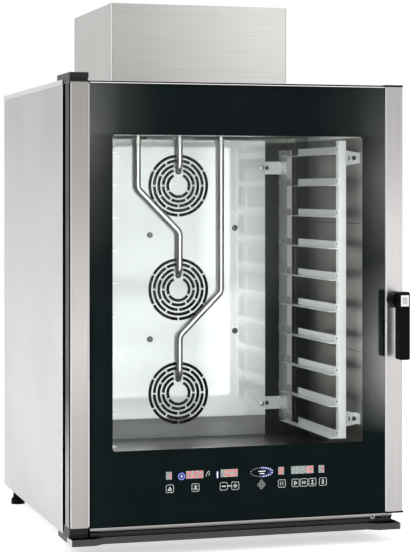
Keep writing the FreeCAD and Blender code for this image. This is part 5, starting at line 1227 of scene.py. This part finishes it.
rear_levels = [REAR_FIRST + REAR_PITCH * i for i in range(REAR_COUNT)]
for side, outward in ((-1, TO_LEFT), (1, TO_RIGHT)):
    case_screws += [((side * REAR_X, rear_y, z), TO_BACK) for z in rear_levels]
    case_screws += [((side * flue_high.x, y, FLUE_Z), outward) for y in FLUE_DEPTHS]
case_screws += [((x, rear_y, z), TO_BACK) for x in REAR_MIDDLE for z in REAR_ROWS]
case_screws += [((x, flue_high.y, FLUE_Z), TO_BACK) for x in FLUE_PLACES]
panel_screws = [((x, panel_y, z), TO_BACK) for x in PANEL_PLACES for z in PANEL_ROWS]
gutter_screws = [((x, gutter_y, GUTTER_Z), TO_FRONT) for x in GUTTER_PLACES]
repeat("case_screws", screw, CASE_SCREW, case_screws, screw_steel, "cabinet", "case_steel")
repeat("door_screws", screw, PANEL_SCREW, panel_screws, screw_steel, "door", "door_steel")
repeat("gutter_screws", screw, GUTTER_SCREW, gutter_screws, nut_steel, "door", "door_steel")
plug_ring = bmesh.new()
plug_loops = [circle_loop(GUTTER_PLACES[0], GUTTER_Z, radius, 24) for radius in (PLUG_RIM, PLUG_BORE)]
add_ring(plug_ring, *plug_loops, gutter_y + PLUG_FRONT, gutter_y + PLUG_BACK)
finished("gutter_plug_ring", plug_ring, screw_steel, "door", "door_steel")

# %% [markdown]
# Cooling air leaves through louvres in the rear sheet. Each slot has a pressed hood over it, open at its
# lower edge so that water can't run in. One hood is drawn as a bent strip with closed ends, and the nodes
# repeat it.

# %% Louvre hoods
HOOD_HALF, HOOD_RISE, HOOD_DROP, HOOD_OUT, HOOD_SHEET, HOOD_STEPS = 87.0, 5.5, 4.5, 5.0, 0.9, 6
LOUVRE_COLUMNS, LOUVRE_ROWS, LOUVRE_PITCH, LOUVRE_FIRST = (-190.0, 190.0), 9, 16.0, 158.0


def hood_arc(inset):
    """The bent strip's section: out from the sheet and down, for its outer or inner face."""
    drop, out_by = HOOD_RISE + HOOD_DROP - inset, HOOD_OUT - inset
    turns = [math.pi / 2 * i / HOOD_STEPS for i in range(HOOD_STEPS + 1)]
    return [(HOOD_DROP - drop * math.cos(turn), out_by * math.sin(turn)) for turn in turns]


strip = hood_arc(0) + hood_arc(HOOD_SHEET)[::-1]
cheek = hood_arc(0) + [(HOOD_DROP, 0.0)]
inner_half = HOOD_HALF - HOOD_SHEET
hood_shape = bmesh.new()
for section, left, right in (
        (strip, -inner_half, inner_half), (cheek, -HOOD_HALF, -inner_half), (cheek, inner_half, HOOD_HALF)):
    add_between(hood_shape, *[[(x, y, z) for y, z in section] for x in (left, right)])
hood = as_pattern("pattern_hood", hood_shape)
hoods = [((x, rear_y, LOUVRE_FIRST + LOUVRE_PITCH * i), TO_BACK)
         for x in LOUVRE_COLUMNS for i in range(LOUVRE_ROWS)]
repeat("louvre_hoods", hood, 1.0, hoods, zinc_steel, "cabinet", "galvanised_steel")

# %% [markdown]
# The gas and water fittings end in pipe threads. A thread is a helix, but at this pitch a stack of sharp
# rings looks the same and stays closed. The door's seal has a thin lip round its face, which is a bead on a
# path.

# %% Pipe threads and the seal's lip
THREAD_RADIUS, THREAD_FIRST, THREAD_PITCH, THREAD_TURNS = 13.5, 764.0, 1.8, 6
FITTINGS = ((170.0, 78.0), (110.0, 975.0))
SEAL_ROUND, LIP_Y, LIP_RADIUS = 20.0, 66.5, 1.4
threads = [((x, THREAD_FIRST + THREAD_PITCH * i, z), TO_BACK)
           for x, z in FITTINGS for i in range(THREAD_TURNS)]
repeat("pipe_threads", thread, THREAD_RADIUS, threads, brass, "cabinet", "brass")
seal_low, seal_high = box_from_door("door_seal")
seal_rise = (seal_high.z - seal_low.z) / 2
lip = rounded_loop(0.0, seal_low.z + seal_rise, seal_high.x, seal_rise, SEAL_ROUND, 8)
lip_path = [(x, LIP_Y, z) for x, z in lip + lip[:1]]
bead("seal_lip", [lip_path], LIP_RADIUS, seal_rubber, "cabinet", "seal_rubber")

# %% [markdown]
# On the hinged edge of the door, a matt black strip stands for the dark gap beside the cabinet and the door's
# shaded side face, a painted shade, and a grey inlay along it is painted pale near the bottom and near black
# higher up, a painted reflection. The other profile has a thin black block along its lower end, and the
# gutter has an apron that reaches down to the tray, near black in the gutter's bands: it stands for the
# shade under the gutter, a painted shade. All four are plain blocks.

# %% Hinge strip, profile foot and apron
STRIP_BACK, STRIP_OUT, INLAY_OUT, STRIP_LOW, STRIP_HIGH = -375.0, -376.0, -376.4, 68.0, 1001.0
side_reflection_grey = moulded("hinge_side_reflection_grey", (0.50, 0.50, 0.50), 0.4, bump=0.05, gloss=0.1)
# painted reflection: the side inlay is pale low on the door and near black higher up
toned(side_reflection_grey, "Z", [(0.07, 0.75), (0.19, 0.75), (0.25, 0.5), (0.34, 0.10), (0.95, 0.05)])
# painted shade: a near-black matt strip for the shaded gap and side face
gap_shade_black = moulded("gap_shade_black_strip", (0.001, 0.001, 0.001), 0.6, bump=0.05, gloss=0.0)


def upright_block(name, across, upwards, inwards, finish, slot):
    """A plain block on the door, given by its two ends in each direction."""
    shape = bmesh.new()
    (left, right), (low, high) = across, upwards
    add_prism(shape, [(left, low), (right, low), (right, high), (left, high)], *inwards)
    finished(name, shape, finish, "door", slot)


strip_height = (STRIP_LOW, STRIP_HIGH)
upright_block("hinge_strip", (STRIP_OUT, STRIP_BACK), strip_height, (0.0, 61.5), gap_shade_black, "black_plastic")
upright_block("hinge_inlay", (INLAY_OUT, STRIP_OUT), strip_height, (2.0, 38.0), side_reflection_grey, "black_plastic")
upright_block("latch_profile_foot", (333.2, 375.4), (64.8, 68.4), (-0.3, 3.0), black_plastic, "black_plastic")
# painted shade: the apron fills the shaded gap between gutter and tray
upright_block("gutter_apron", (-330.5, 349.5), (46.0, 54.6), (6.5, 40.0), gutter_steel, "door_steel")
print("strip from", STRIP_LOW, "to", STRIP_HIGH)

# %% [markdown]
# Bent sheet and drawn profiles show a bright line along their corners, and so does the upper edge of the
# glass. That line is too thin for the construction's solids, so each such edge gets a bead whose round shape
# catches the light and whose steel is paler than the sheet, a painted highlight.

# %% Bright corners
PROFILE_EDGES, PROFILE_EDGE_Y, PROFILE_ENDS = (-372.8, -334.2, 334.2), 0.3, (70.0, 999.0)
GLASS_EDGE_X, GLASS_EDGE_Y, GLASS_EDGE_DROP = 332.0, 0.2, 0.8
FLUE_EDGE_X, FLUE_EDGE_Y, FLUE_ENDS = 210.2, 310.8, (1012.0, 1199.0)
SIDE_EDGE_X, SIDE_EDGE_Y, SIDE_ENDS = 375.7, 70.6, (52.0, 997.0)
ROOF_EDGE_X, ROOF_EDGE_Y, ROOF_EDGE_Z = 372.0, 69.4, 1008.8
PROFILE_BEAD, CASE_BEAD = 1.0, 1.1
corner_steel = sheet_steel("highlight_corner_steel", (0.90, 0.90, 0.89), 0.2, ALONG_Z, streak=0.03)
profile_edges = [[(x, PROFILE_EDGE_Y, z) for z in PROFILE_ENDS] for x in PROFILE_EDGES]
glass_edge = [(x, GLASS_EDGE_Y, glass_top - GLASS_EDGE_DROP) for x in (-GLASS_EDGE_X, GLASS_EDGE_X)]
flue_edges = [[(x, FLUE_EDGE_Y, z) for z in FLUE_ENDS] for x in (-FLUE_EDGE_X, FLUE_EDGE_X)]
side_edges = [[(x, SIDE_EDGE_Y, z) for z in SIDE_ENDS] for x in (-SIDE_EDGE_X, SIDE_EDGE_X)]
roof_edge = [(x, ROOF_EDGE_Y, ROOF_EDGE_Z) for x in (-ROOF_EDGE_X, ROOF_EDGE_X)]
bead("profile_corners", profile_edges + [glass_edge], PROFILE_BEAD, corner_steel, "door", "door_steel")
bead("case_corners", flue_edges + side_edges + [roof_edge], CASE_BEAD, corner_steel, "cabinet", "case_steel")

# %% [markdown]
# The patterns have done their work. They aren't parts of the oven, so they leave the scene before it is
# measured.

# %% The patterns leave the scene
for pattern in patterns:
    bpy.data.objects.remove(pattern)
print("patterns removed:", len(patterns))
